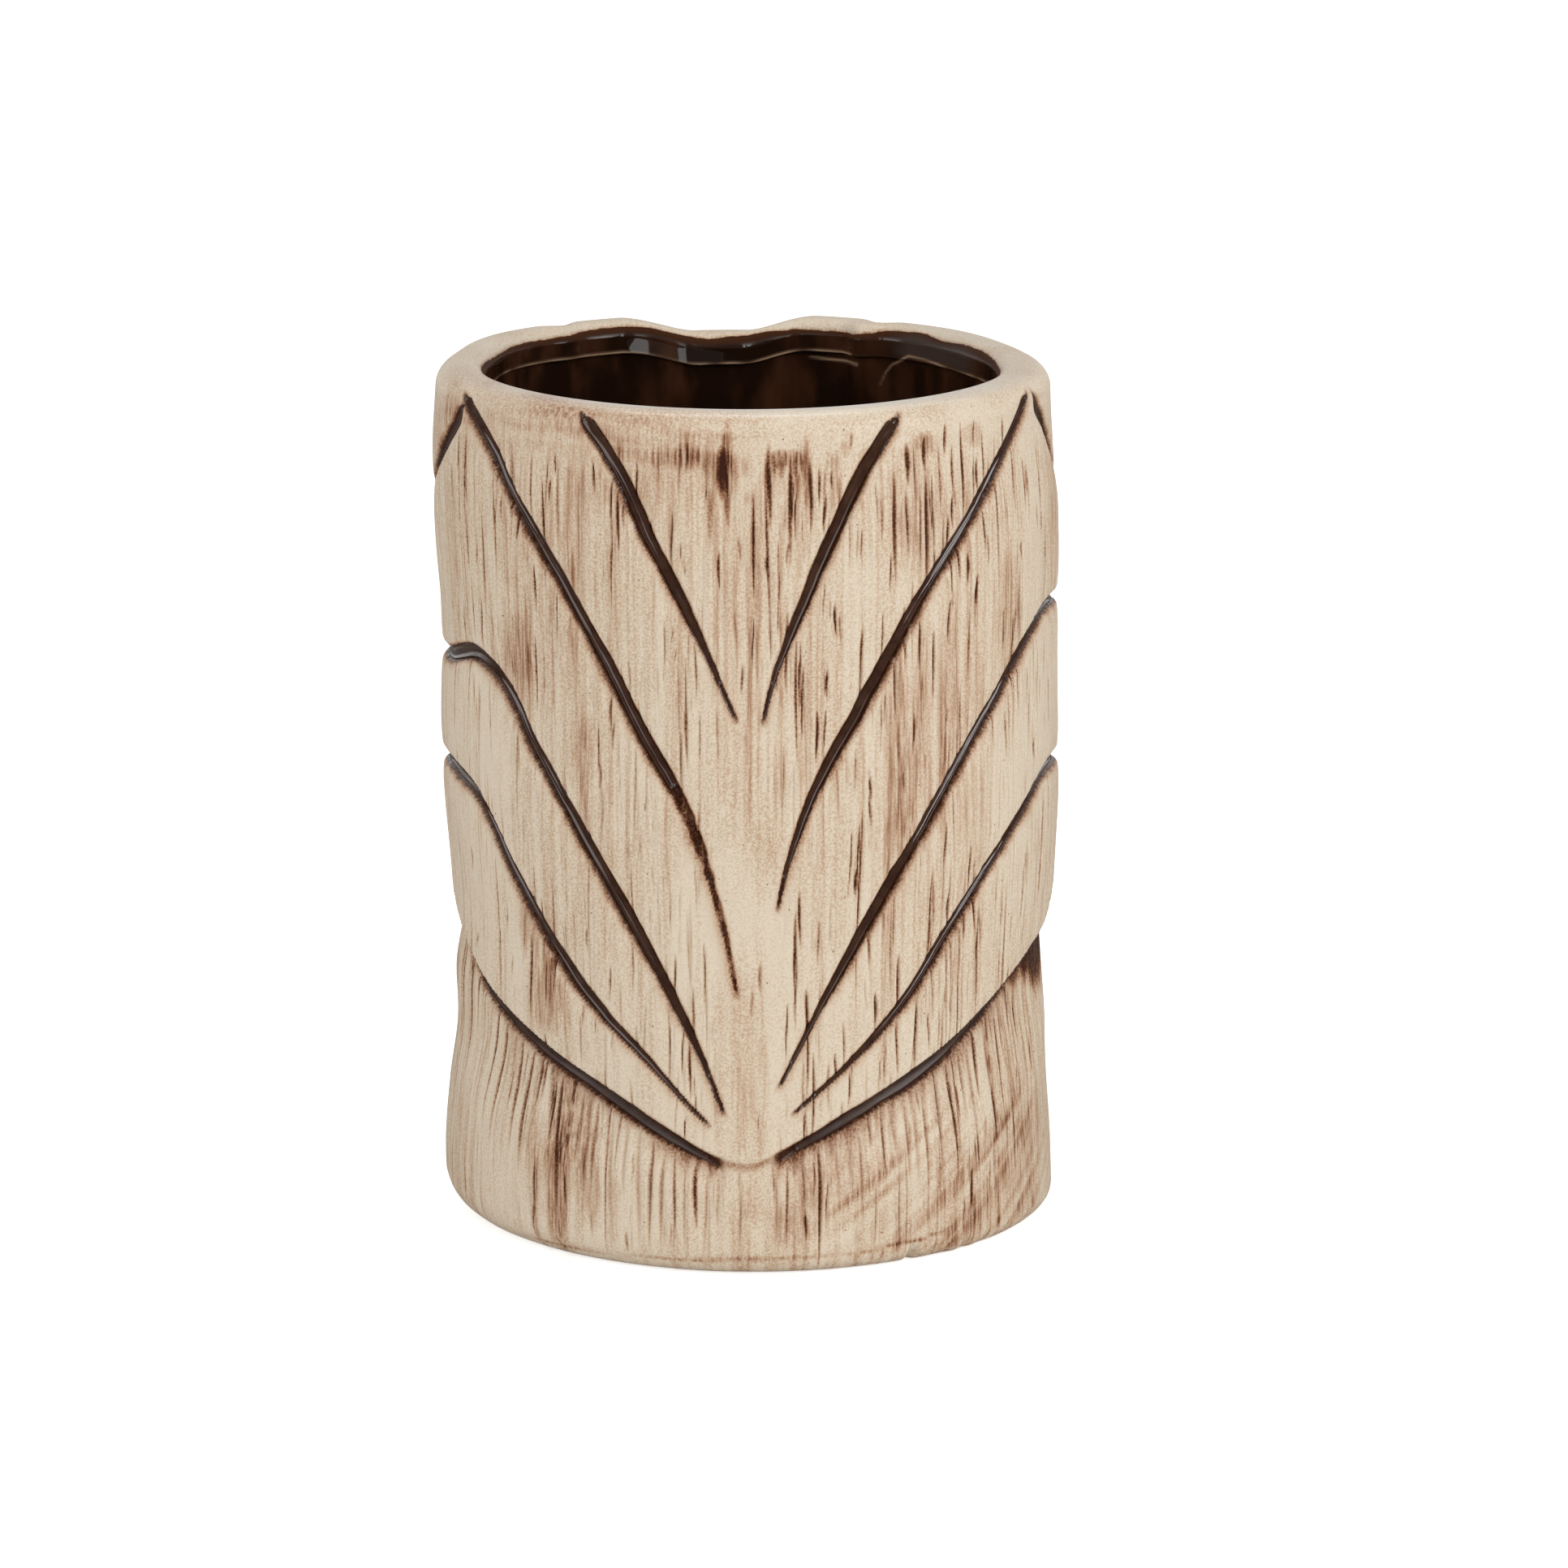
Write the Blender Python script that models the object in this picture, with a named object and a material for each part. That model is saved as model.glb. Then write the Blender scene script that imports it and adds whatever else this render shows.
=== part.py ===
"""Tiki tumbler: a slip-cast ceramic body with carved lines, a glaze lining and glaze in each carved line.

Lengths are in millimetres and turned into metres where vertices are made. A place on the wall is
(turn, height): turn is in degrees from -Y towards +X, so the carved leaf on the back is near turn 0
and the face is near FACE_TURN. Height is above the table.
"""

import math

import bmesh
import bpy
import numpy as np

MM = 0.001

# Driving dimensions
HEIGHT = 125.0
RADIUS = 45.0
RIM_WALL = 7.2
FLOOR_THICKNESS = 7.5
OUTER_LIP = 3.0
INNER_LIP = 2.4
FOOT_ROUND = 4.0
GLAZE_THICKNESS = 0.55
GLAZE_GAP = 0.25
LINING_TOP = HEIGHT - INNER_LIP - 0.6

# The outer wall's radius against height, as an offset from RADIUS
WALL_PROFILE = (
    (0, -0.3), (12, -0.2), (20, -0.4), (30, -0.7), (40, -0.8), (52, -0.5),
    (62, -0.2), (85, -0.3), (100, 0.0), (110, 0.1), (118, -0.2), (HEIGHT, -0.5),
)
# The inner wall's radius against height, as an offset from RADIUS - RIM_WALL
CAVITY_PROFILE = (
    (FLOOR_THICKNESS, -2.2), (16, -0.9), (28, 0.0), (60, 0.7), (105, 1.1), (117, 1.1),
    (120.5, 0.0), (HEIGHT, 0.0),
)
CAVITY_FILLET = 6.0

# The face looks along FACE_TURN. Places on it are (arc, height), with arc in mm from its centre line.
FACE_TURN = 186.0
CREASE_ARC = 26.0
# The edge where the carved head stands proud of the trunk: (turn, height)
HEAD_EDGE = (
    (FACE_TURN - 360, 11.5), (-157, 14), (-139, 23), (-122, 38), (-106, 47), (-90, 49), (-74, 44),
    (-62, 39), (-42, 31.7), (-28, 26.8), (-14.6, 21.2), (-4, 16.8), (0.6, 15.8), (5.2, 17.9),
    (11.4, 20.7), (25, 26.2), (41, 32.1), (59, 39), (76, 44), (91, 49), (109, 47), (130, 37),
    (151, 23), (169, 14), (FACE_TURN, 11.5),
)
STEP_DEPTH_BACK = 1.2
STEP_DEPTH_SIDE = 2.1
STEP_HEIGHT = 0.8

# Carved lines: name, width, depth and the (turn, height) points that a smooth curve goes through
LEAF_LINES = (
    ("leaf_glaze_left_1", 2.4, 1.6, ((-31, 122.5), (-24, 116.5), (-18, 107), (-10, 95), (-5, 86.5), (-1.3, 80))),
    ("leaf_glaze_left_2", 2.4, 1.6, ((-62.5, 121.5), (-56, 118.5), (-46, 110), (-33, 96.5), (-19, 78.2), (-11, 67.5), (-6, 56), (-1.5, 39.5))),
    ("leaf_glaze_left_3", 2.3, 1.6, ((-122, 82), (-100, 83), (-77, 84), (-60, 86), (-53, 84), (-42, 74), (-25, 55.3), (-10, 34.5), (-3.7, 23.2))),
    ("leaf_glaze_left_4", 2.3, 1.6, ((-118, 66), (-95, 67), (-74, 67.8), (-61, 65.3), (-50, 56), (-34, 41.8), (-18.6, 31), (-6.3, 21.7))),
    ("leaf_glaze_right_1", 2.4, 1.6, ((28, 122.5), (21.5, 116.5), (15, 107), (9.5, 97), (5, 88), (2.2, 80))),
    ("leaf_glaze_right_2", 2.3, 1.6, ((64.5, 121.5), (59, 118.5), (46, 109), (33, 97.5), (20, 81.5), (12, 71), (7, 60), (4.9, 53))),
    ("leaf_glaze_right_3", 2.2, 1.6, ((126, 87), (108, 89), (90, 90.5), (71, 91), (63, 88), (50, 79.5), (31, 61.3), (15, 41.5), (4.7, 27))),
    ("leaf_glaze_right_4", 2.2, 1.6, ((124, 64), (105, 65.5), (88, 67), (72, 67), (60, 62.4), (45, 52.5), (29.5, 38.4), (17.5, 30), (7, 23.4))),
)
HEAD_EDGE_LINES = (
    ("head_edge_glaze_left", 2.6, 1.1, -75, -5),
    ("head_edge_glaze_right", 2.6, 1.1, 76, 6),
)
TEMPLE_LINES = (
    ("temple_glaze_left", 2.2, 1.4, ((-66, 119.5), (-71, 116), (-79, 111.5), (-92, 105), (-108, 98), (-122, 95))),
    ("temple_glaze_right", 2.2, 1.4, ((70, 120.5), (74, 118.5), (82, 113), (96, 105), (112, 98), (126, 95))),
)
# Lines on the face's -X half, as (arc, height) with arc positive; the +X half mirrors them
FACE_LINES = (
    ("brow_glaze", 2.6, 1.6, ((5, 80.4), (12, 81.9), (22, 81.4), (32, 77), (38, 70.5))),
    ("forehead_glaze", 2.2, 1.5, ((26, 121), (26, 112), (27, 101), (30, 90))),
    ("upper_lid_glaze", 1.9, 1.3, ((8, 65), (13, 69.5), (20, 71), (27, 69), (31.5, 64.5))),
    ("lower_lid_glaze", 1.7, 1.2, ((9.5, 62.5), (15, 60), (21, 59.3), (27, 60.8), (30.5, 63))),
    ("nose_glaze", 2.0, 1.4, ((9.5, 57), (12.5, 53.5), (15, 49.5), (15, 45), (11, 42.2))),
    ("cheek_glaze", 2.2, 1.5, ((19.5, 47.5), (24, 41.5), (26.5, 35), (26.5, 27.5))),
)
MOUTH_LINE = ("mouth_glaze", 2.6, 1.7, ((-19, 31.2), (-10, 29.8), (0, 29.2), (10, 29.8), (19, 31.2)))

# How finely the solids are divided
FACE_HALF_TURN = 62.0
FACE_COLUMNS = 46
BACK_COLUMNS = 38
TRUNK_ROWS = 4
HEAD_ROWS = 17
LIP_STEPS = 3
LINE_STATION_SPACING = 6.5

CLAY = ("stained_ceramic", (0.74, 0.62, 0.47), 0.5)
BROWN_GLAZE = ("brown_glaze", (0.045, 0.02, 0.012), 0.08)


def ramp(low, high, value):
    """0 below low, 1 above high, with a smooth rise between them."""
    t = np.clip((value - low) / (high - low), 0, 1)
    return t * t * (3 - 2 * t)


def through(points, x):
    """A smooth curve through (x, y) points, held level past its ends."""
    xs, ys = np.array(points, float).T
    slopes = np.gradient(ys, xs)
    x = np.clip(x, xs[0], xs[-1])
    i = np.clip(np.searchsorted(xs, x) - 1, 0, len(xs) - 2)
    width = xs[i + 1] - xs[i]
    t = (x - xs[i]) / width
    start = ys[i] * (1 + 2 * t) * (1 - t) ** 2 + width * slopes[i] * t * (1 - t) ** 2
    end = ys[i + 1] * t**2 * (3 - 2 * t) + width * slopes[i + 1] * t**2 * (t - 1)
    return start + end


def mound(arc, height, centre, half, rise, edge=0.45):
    """A rounded rise: full inside edge times its half size, and nothing past the half size."""
    reach = np.hypot((arc - centre[0]) / half[0], (height - centre[1]) / half[1])
    return rise * (1 - ramp(edge, 1.0, reach))


def face_arc(turn):
    """Arc from the face's centre line, positive towards larger turns."""
    return ((turn - FACE_TURN + 180) % 360 - 180) * math.pi / 180 * RADIUS


def face_turn(arc):
    return FACE_TURN + arc / RADIUS * 180 / math.pi


def rim_lobes(turn):
    """A valley down the forehead's middle, a lobe each side of it, and a crease before each temple."""
    side = np.abs(face_arc(turn))
    beside = ramp(4.5, 15.5, side)
    crease = 1 - ramp(0, 4.0, np.abs(side - CREASE_ARC))
    return 3.2 * beside * (1 - ramp(32, 58, side)) - 3.0 * (1 - beside) - 2.0 * crease


def face_relief(turn, height):
    """How far the face stands out from the wall."""
    arc = face_arc(turn)
    side = np.abs(arc)
    relief = rim_lobes(turn) * ramp(80, 92, height)
    relief += mound(side, height, (15, 84), (19, 7.5), 3.6)
    relief += mound(side, height, (19, 66), (16, 13), -2.2, 0.55)
    relief += mound(side, height, (19.5, 65.5), (11.5, 6.2), 2.9, 0.3)
    nose_half = 5.5 + 7.5 * ramp(80, 48, height)
    nose_rise = (3.0 + 5.0 * ramp(84, 50, height)) * ramp(43.5, 47.5, height)
    relief += nose_rise * (1 - ramp(0.35, 1.0, side / nose_half)) * (1 - ramp(78, 92, height))
    relief += mound(side, height, (22, 47), (14, 14), 2.4, 0.2)
    relief += mound(arc, height, (0, 30), (25, 10), 3.2, 0.5)
    relief += mound(arc, height, (0, 16), (21, 9), 2.2, 0.3)
    return relief


def head_edge(turn):
    start = FACE_TURN - 360
    return through(HEAD_EDGE, (turn - start) % 360 + start)


def trunk_recess(turn, height):
    """How far the trunk sits back under the head's edge, easing out to the full wall below it."""
    edge = head_edge(turn)
    sideways = ramp(15, 40, edge)
    depth = STEP_DEPTH_BACK + (STEP_DEPTH_SIDE - STEP_DEPTH_BACK) * sideways
    length = 6 + 16 * sideways
    under = edge - height
    return depth * ramp(0, STEP_HEIGHT, under) * (1 - ramp(1.5, length, under))


def outer_radius(turn, height):
    radius = RADIUS + through(WALL_PROFILE, height)
    radius = radius + face_relief(turn, height) - trunk_recess(turn, height)
    over_lip = np.clip(height - (HEIGHT - OUTER_LIP), 0, OUTER_LIP)
    radius = radius - (OUTER_LIP - np.sqrt(OUTER_LIP**2 - over_lip**2))
    under_foot = np.clip(FOOT_ROUND - height, 0, FOOT_ROUND)
    return radius - (FOOT_ROUND - np.sqrt(FOOT_ROUND**2 - under_foot**2))


def cavity_radius(turn, height):
    radius = RADIUS - RIM_WALL + through(CAVITY_PROFILE, height)
    radius = radius + 0.95 * rim_lobes(turn) * ramp(78, 100, height)
    fillet = np.clip(FLOOR_THICKNESS + CAVITY_FILLET - height, 0, CAVITY_FILLET)
    return radius - (CAVITY_FILLET - np.sqrt(CAVITY_FILLET**2 - fillet**2))


def rim_rise(turn):
    """The rim dips a little in the valley and hardly at all on the lobes."""
    return 0.12 * np.minimum(rim_lobes(turn), 0)


def column_turns():
    """The wall's columns: close together across the face and wider apart round the back."""
    face = np.linspace(FACE_TURN - FACE_HALF_TURN, FACE_TURN + FACE_HALF_TURN, FACE_COLUMNS + 1)
    back = np.linspace(face[-1], face[0] + 360, BACK_COLUMNS + 1)
    return list(face[:-1]) + list(back[:-1])


def point(turn, radius, height):
    angle = np.radians(turn)
    return (radius * np.sin(angle) * MM, -radius * np.cos(angle) * MM, height * MM)


def ring(mesh, turns, radius_at, height_at):
    return [mesh.verts.new(point(t, float(radius_at(t)), float(height_at(t)))) for t in turns]


def bridge(mesh, lower, upper):
    """Faces between two rings; the upper ring may have half as many vertices as the lower."""
    n = len(upper)
    if len(lower) == n:
        for i in range(n):
            j = (i + 1) % n
            mesh.faces.new((lower[i], lower[j], upper[j], upper[i]))
        return
    for i in range(n):
        a, b, c = (lower[(2 * i + k) % (2 * n)] for k in range(3))
        d, e = upper[i], upper[(i + 1) % n]
        mesh.faces.new((a, b, d))
        mesh.faces.new((b, e, d))
        mesh.faces.new((b, c, e))


def bridge_all(mesh, rings):
    for lower, upper in zip(rings, rings[1:]):
        bridge(mesh, lower, upper)


def cap(mesh, edge_ring, height):
    middle = mesh.verts.new((0, 0, height * MM))
    for i, vert in enumerate(edge_ring):
        mesh.faces.new((vert, edge_ring[(i + 1) % len(edge_ring)], middle))


def outer_rings(mesh):
    """The outer wall, from the foot's edge to the top of the lip. One row follows the head's edge."""
    def row(height_at):
        return ring(mesh, column_turns(), lambda t: outer_radius(t, height_at(t)),
                    lambda t: height_at(t) + rim_rise(t) * ramp(100, HEIGHT, height_at(t)))

    rings = [row(lambda t, a=a: FOOT_ROUND * (1 - math.cos(a))) for a in np.linspace(0, math.pi / 2, 3)]
    for share in np.linspace(0, 1, TRUNK_ROWS + 1)[1:]:
        rings.append(row(lambda t, s=share: FOOT_ROUND + s * (head_edge(t) - STEP_HEIGHT - FOOT_ROUND)))
    for share in np.linspace(0, 1, HEAD_ROWS + 1):
        rings.append(row(lambda t, s=share: head_edge(t) + s * (HEIGHT - OUTER_LIP - head_edge(t))))
    for angle in np.linspace(0, math.pi / 2, LIP_STEPS + 1)[1:]:
        rings.append(row(lambda t, a=angle: HEIGHT - OUTER_LIP + OUTER_LIP * math.sin(a)))
    return rings


def inner_lip_ring(mesh, angle, turns):
    """A ring on the lip's inner rounding: angle 0 is its top and 90 degrees its inner face."""
    back = INNER_LIP * (1 - math.sin(angle))
    return ring(mesh, turns, lambda t: cavity_radius(t, HEIGHT) + back,
                lambda t: HEIGHT - INNER_LIP * (1 - math.cos(angle)) + rim_rise(t))


def cavity_heights():
    """Row heights down the cavity: close at the ledge under the lip and in the floor's fillet."""
    fillet = [CAVITY_FILLET * (1 - math.cos(a)) for a in np.radians((90, 60, 30))]
    wall = [LINING_TOP, 120.5, 119.0, 108.0, 92.0, 78.0, 52.0, 28.0]
    return wall + [FLOOR_THICKNESS + rise for rise in fillet]


def cavity_rings(mesh, heights, inset):
    return [
        ring(mesh, column_turns()[::2], lambda t, z=z: cavity_radius(t, z) - inset,
             lambda t, z=z: z + rim_rise(t) * ramp(100, HEIGHT, z))
        for z in heights
    ]


def floor_ring(mesh, height):
    radius = RADIUS - RIM_WALL - CAVITY_FILLET + CAVITY_PROFILE[0][1]
    return ring(mesh, column_turns()[::2], lambda t: radius, lambda t: height)


def body_mesh():
    mesh = bmesh.new()
    rings = outer_rings(mesh)
    for angle in np.linspace(0, math.pi / 2, LIP_STEPS + 1)[:-1]:
        rings.append(inner_lip_ring(mesh, angle, column_turns()))
    rings.append(inner_lip_ring(mesh, math.pi / 2, column_turns()[::2]))
    rings += cavity_rings(mesh, cavity_heights()[1:], 0.0)
    rings.append(floor_ring(mesh, FLOOR_THICKNESS))
    bridge_all(mesh, rings)
    cap(mesh, rings[-1], FLOOR_THICKNESS)
    cap(mesh, rings[0], 0.0)
    return mesh


def lining_mesh():
    """The glaze in the cavity: a thin cup that stands a small gap inside the clay."""
    mesh = bmesh.new()
    fillet_top = FLOOR_THICKNESS + CAVITY_FILLET
    shells = []
    for inset in (GLAZE_GAP, GLAZE_GAP + GLAZE_THICKNESS):
        heights = [z + inset if z < fillet_top else z for z in cavity_heights()]
        rings = cavity_rings(mesh, heights, inset)
        rings.append(floor_ring(mesh, FLOOR_THICKNESS + inset))
        cap(mesh, rings[-1], FLOOR_THICKNESS + inset)
        bridge_all(mesh, rings)
        shells.append(rings)
    bridge(mesh, shells[0][0], shells[1][0])
    return mesh


def add_object(name, mesh, material):
    bmesh.ops.recalc_face_normals(mesh, faces=mesh.faces)
    data = bpy.data.meshes.new(name)
    mesh.to_mesh(data)
    mesh.free()
    made = bpy.data.objects.new(name, data)
    bpy.context.scene.collection.objects.link(made)
    data.materials.append(material)
    data.shade_smooth()
    data.set_sharp_from_angle(angle=math.radians(40))
    return made


def make_material(name, colour, roughness):
    material = bpy.data.materials.new(name)
    material.use_nodes = True
    shader = material.node_tree.nodes["Principled BSDF"]
    shader.inputs["Base Color"].default_value = (*colour, 1)
    shader.inputs["Roughness"].default_value = roughness
    shader.inputs["Metallic"].default_value = 0.0
    return material


def line_stations(points):
    """Evenly spaced (turn, height) places on the smooth curve through points."""
    points = np.array(points, float)
    arcs = np.radians(points[:, 0]) * RADIUS
    steps = np.hypot(np.diff(arcs), np.diff(points[:, 1]))
    along = np.concatenate([[0], np.cumsum(steps)])
    count = max(5, round(along[-1] / LINE_STATION_SPACING) + 1)
    wanted = np.linspace(0, along[-1], count)
    turns = through(np.column_stack([along, points[:, 0]]), wanted)
    heights = through(np.column_stack([along, points[:, 1]]), wanted)
    return turns, heights


def swept_line(turns, heights, section_at):
    """A closed sweep along a line on the wall. section_at gives (sideways, outward) corners at a share."""
    mesh = bmesh.new()
    radii = np.array([float(outer_radius(t, z)) for t, z in zip(turns, heights)])
    centres = np.array([point(t, r, z) for t, r, z in zip(turns, radii, heights)]) / MM
    tangents = np.gradient(centres, axis=0)
    rings = []
    for i, share in enumerate(np.linspace(0, 1, len(turns))):
        angle = math.radians(turns[i])
        outward = np.array([math.sin(angle), -math.cos(angle), 0])
        sideways = np.cross(outward, tangents[i])
        sideways /= np.linalg.norm(sideways)
        corners = [centres[i] + sideways * a + outward * b for a, b in section_at(share)]
        rings.append([mesh.verts.new(tuple(corner * MM)) for corner in corners])
    for first, second in zip(rings, rings[1:]):
        for i in range(len(first)):
            j = (i + 1) % len(first)
            mesh.faces.new((first[i], first[j], second[j], second[i]))
    mesh.faces.new(rings[0])
    mesh.faces.new(rings[-1][::-1])
    return mesh


def taper(share):
    """Carved lines narrow to fine ends."""
    return 0.22 + 0.78 * ramp(0, 0.16, share) * (1 - ramp(0.72, 1.0, share))


def line_cutter(name, width, depth, turns, heights, material):
    clearance = 2.5

    def section(share):
        size = taper(share)
        spread = width / 2 * (size * depth + clearance) / depth
        return ((-spread, clearance), (spread, clearance), (0, -depth * size))

    cutter = add_object(name + "_cutter", swept_line(turns, heights, section), material)
    cutter.hide_render = True
    cutter.display_type = "WIRE"
    return cutter


def line_glaze(name, width, depth, turns, heights, material):
    """The glaze lying in a carved line: a slim wedge clear of both of its sides."""
    slope = width / 2 / depth

    def section(share):
        full = taper(0.06 + 0.86 * share)
        bottom = -depth * full + GLAZE_GAP / slope * 0.9
        top = bottom * 0.42
        spread = (top - bottom) * slope
        return ((-spread, top), (spread, top), (0, bottom))

    keep = slice(1, -1)
    return add_object(name, swept_line(turns[keep], heights[keep], section), material)


def carve(body, name, width, depth, points, material):
    turns, heights = line_stations(points)
    cutter = line_cutter(name, width, depth, turns, heights, material)
    cut = body.modifiers.new(name, "BOOLEAN")
    cut.operation = "DIFFERENCE"
    cut.solver = "EXACT"
    cut.object = cutter
    line_glaze(name, width, depth, turns, heights, material)


def head_edge_points(first, last):
    """Places just under the head's edge, for the line carved along the foot of its step."""
    drop = 1.5
    return [(t, float(head_edge(t)) - drop) for t in np.linspace(first, last, 8)]


def all_lines():
    yield from LEAF_LINES
    yield from TEMPLE_LINES
    for name, width, depth, first, last in HEAD_EDGE_LINES:
        yield name, width, depth, head_edge_points(first, last)
    for name, width, depth, points in FACE_LINES:
        yield name + "_left", width, depth, [(face_turn(a), z) for a, z in points]
        yield name + "_right", width, depth, [(face_turn(-a), z) for a, z in points]
    name, width, depth, points = MOUTH_LINE
    yield name, width, depth, [(face_turn(a), z) for a, z in points]


def main():
    for old in list(bpy.data.objects):
        bpy.data.objects.remove(old)
    clay = make_material(*CLAY)
    glaze = make_material(*BROWN_GLAZE)
    body = add_object("ceramic_body", body_mesh(), clay)
    add_object("interior_glaze", lining_mesh(), glaze)
    for name, width, depth, points in all_lines():
        carve(body, name, width, depth, points, glaze)


main()
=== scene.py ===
"""The tiki mug's looks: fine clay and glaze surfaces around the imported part.

Lengths are in millimetres and turned into metres where vertices are made. A place on the wall is
(turn, height): turn is in degrees from -Y towards +X, so the carved leaf is near turn 0 and the
face is near FACE_TURN. On the unrolled wall a turn becomes an arc of RADIUS.
"""

import math
from functools import partialmethod

import bpy
import numpy as np
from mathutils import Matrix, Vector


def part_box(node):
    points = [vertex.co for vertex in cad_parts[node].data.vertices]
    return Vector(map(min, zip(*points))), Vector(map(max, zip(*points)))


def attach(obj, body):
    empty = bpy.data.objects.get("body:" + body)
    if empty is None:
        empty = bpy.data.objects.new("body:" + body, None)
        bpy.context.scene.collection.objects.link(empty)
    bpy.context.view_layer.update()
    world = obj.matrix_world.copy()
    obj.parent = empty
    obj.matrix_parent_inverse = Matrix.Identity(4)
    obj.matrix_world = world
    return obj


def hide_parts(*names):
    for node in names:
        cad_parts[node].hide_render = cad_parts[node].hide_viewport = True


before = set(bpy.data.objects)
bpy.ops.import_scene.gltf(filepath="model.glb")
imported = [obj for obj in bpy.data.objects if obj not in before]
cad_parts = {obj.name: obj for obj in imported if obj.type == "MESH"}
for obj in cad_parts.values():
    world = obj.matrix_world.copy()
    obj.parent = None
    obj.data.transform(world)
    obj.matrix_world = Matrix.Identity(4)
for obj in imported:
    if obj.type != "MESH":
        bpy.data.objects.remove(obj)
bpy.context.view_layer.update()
LOW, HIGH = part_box("ceramic_body")

MM = 0.001
HEIGHT = round((HIGH[2] - LOW[2]) / MM, 1)
RADIUS = round((HIGH[0] - LOW[0]) / 2 / MM)

# Wall and rim, as in the part
RIM_WALL = 7.2
FLOOR_THICKNESS = 7.5
OUTER_LIP = 3.0
INNER_LIP = 2.4
FOOT_ROUND = 4.0
FOOT_ROUND_CHANGE = 1.2
CHIP_TURN = 32.5
CAVITY_FILLET = 6.0
WALL_PROFILE = (
    (0, -0.3), (12, -0.2), (20, -0.4), (30, -0.7), (40, -0.8), (52, -0.5),
    (62, -0.2), (85, -0.3), (100, 0.0), (110, 0.1), (118, -0.2), (HEIGHT, -0.5),
)
CAVITY_PROFILE = (
    (FLOOR_THICKNESS, -2.2), (16, -0.9), (28, 0.0), (60, 0.2), (105, 0.1), (HEIGHT, 0.0),
)
CAVITY_FLOOR = RADIUS - RIM_WALL - CAVITY_FILLET + CAVITY_PROFILE[0][1]
# How the hand-finished wall strays from round on its left and right: (height, change of radius)
LEFT_CHANGE = (
    (0, -0.2), (8, 0.0), (18, -0.5), (28, -1.4), (36, -0.4), (47, -0.9), (60, -0.4), (72, 0.0),
    (90, 0.0), (104, 0.5), (116, 0.7), (HEIGHT, 0.4),
)
RIGHT_CHANGE = (
    (0, 0.3), (8, -0.1), (24, -0.7), (33, -0.4), (40, 0.2), (52, 0.7), (75, 0.6), (90, 0.6),
    (104, 0.1), (116, -0.9), (HEIGHT, -0.9),
)
# How the cavity's top strays from round: (turn, change of radius)
CAVITY_CHANGES = ((-90, 0.3), (90, -1.5), (0, 0.5))

# A trimmed ledge under the rim, below which the wall is thinner; the lip above it leans in near FLARE_TURN
LEDGE_HEIGHT = HEIGHT - 4.7
LEDGE_DEPTH = 1.0
LEDGE_DROP = 0.45
LIP_FLARE = 0.28
FLARE_TURN = 199.0
# Pale marks in the inside glaze beside a crease, partly glaze thinning over edges and partly painted
# highlights, and the turns between which the ledge's own line is lost
FOLD_PALE_AND_HIGHLIGHT_LINES = (
    ((131.4, LEDGE_HEIGHT + 0.1), (137.5, LEDGE_HEIGHT + 0.45), (143, LEDGE_HEIGHT + 0.6),
     (148.3, LEDGE_HEIGHT - 1.3), (149.8, LEDGE_HEIGHT - 2.6), (151, LEDGE_HEIGHT - 4.6)),
    ((155.5, LEDGE_HEIGHT - 1.5), (161, LEDGE_HEIGHT - 1.35), (167, LEDGE_HEIGHT - 1.1)),
)
FOLD_GAP = (132.5, 156)
FOLD_REACH = 8.0
# The angle round the lip's inner rounding where the brushed inside glaze begins: (turn, degrees)
GLAZE_EDGE = (
    (0, 60), (100, 58), (113, 46), (125, 46), (134, 53), (141, 41), (148, 50), (155, 69), (161, 73),
    (167, 69), (172, 60), (177.5, 36), (183, 39), (189, 52), (195, 42), (206, 52), (213, 54),
    (220, 60), (237, 66), (249, 70), (262, 62), (360, 60),
)
GLAZE_THICKNESS = 0.24
GLAZE_BEDDING = 0.25
# How far a glaze face is kept from the clay's face
FACE_GAP = 0.02

FACE_TURN = 186.0
CREASE_ARC = 26.0
CAVITY_CREASE = 0.25
# The face's forms, alike on both sides: (arc, height, half arc, half height, rise, level share)
FACE_FORMS = (
    (15, 84, 19, 7.5, 3.6, 0.45), (19, 66, 16, 13, -2.2, 0.55), (19.5, 65.5, 11.5, 6.2, 2.9, 0.3),
    (22, 47, 14, 14, 2.4, 0.2), (0, 30, 25, 10, 3.2, 0.5), (0, 16, 21, 9, 2.2, 0.3),
    (9.5, 49.5, 4.5, 4.0, 1.8, 0.2), (0, 33.6, 18, 3.6, 1.3, 0.3), (0, 25.6, 15, 4.0, 1.5, 0.3),
)
# The edge where the carved head stands proud of the trunk: (turn, height)
HEAD_EDGE = (
    (FACE_TURN - 360, 11.5), (-157, 14), (-139, 23), (-122, 38), (-106, 47), (-90, 49), (-74, 44),
    (-62, 39), (-42, 31.7), (-28, 26.8), (-14.6, 21.6), (-4, 17.8), (0.6, 17.4), (5.2, 18.8),
    (11.4, 21.2), (25, 26.3), (41, 32.1), (59, 39), (76, 44), (91, 49), (109, 47), (130, 37),
    (151, 23), (169, 14), (FACE_TURN, 11.5),
)
STEP_DEPTH_BACK = 1.2
STEP_DEPTH_SIDE = 2.1
STEP_HEIGHT = 1.2
# The lower edge of the dark patch under the head's edge at the right, partly glaze that pooled there and
# partly painted shade in the recess: (turn, height)
SHADED_WEDGE_FLOOR = (
    (44, 39.6), (56, 38.5), (62, 37.7), (69.5, 36.3), (81, 33.8), (88, 34.5), (97, 39.5), (108, 47),
)

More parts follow.
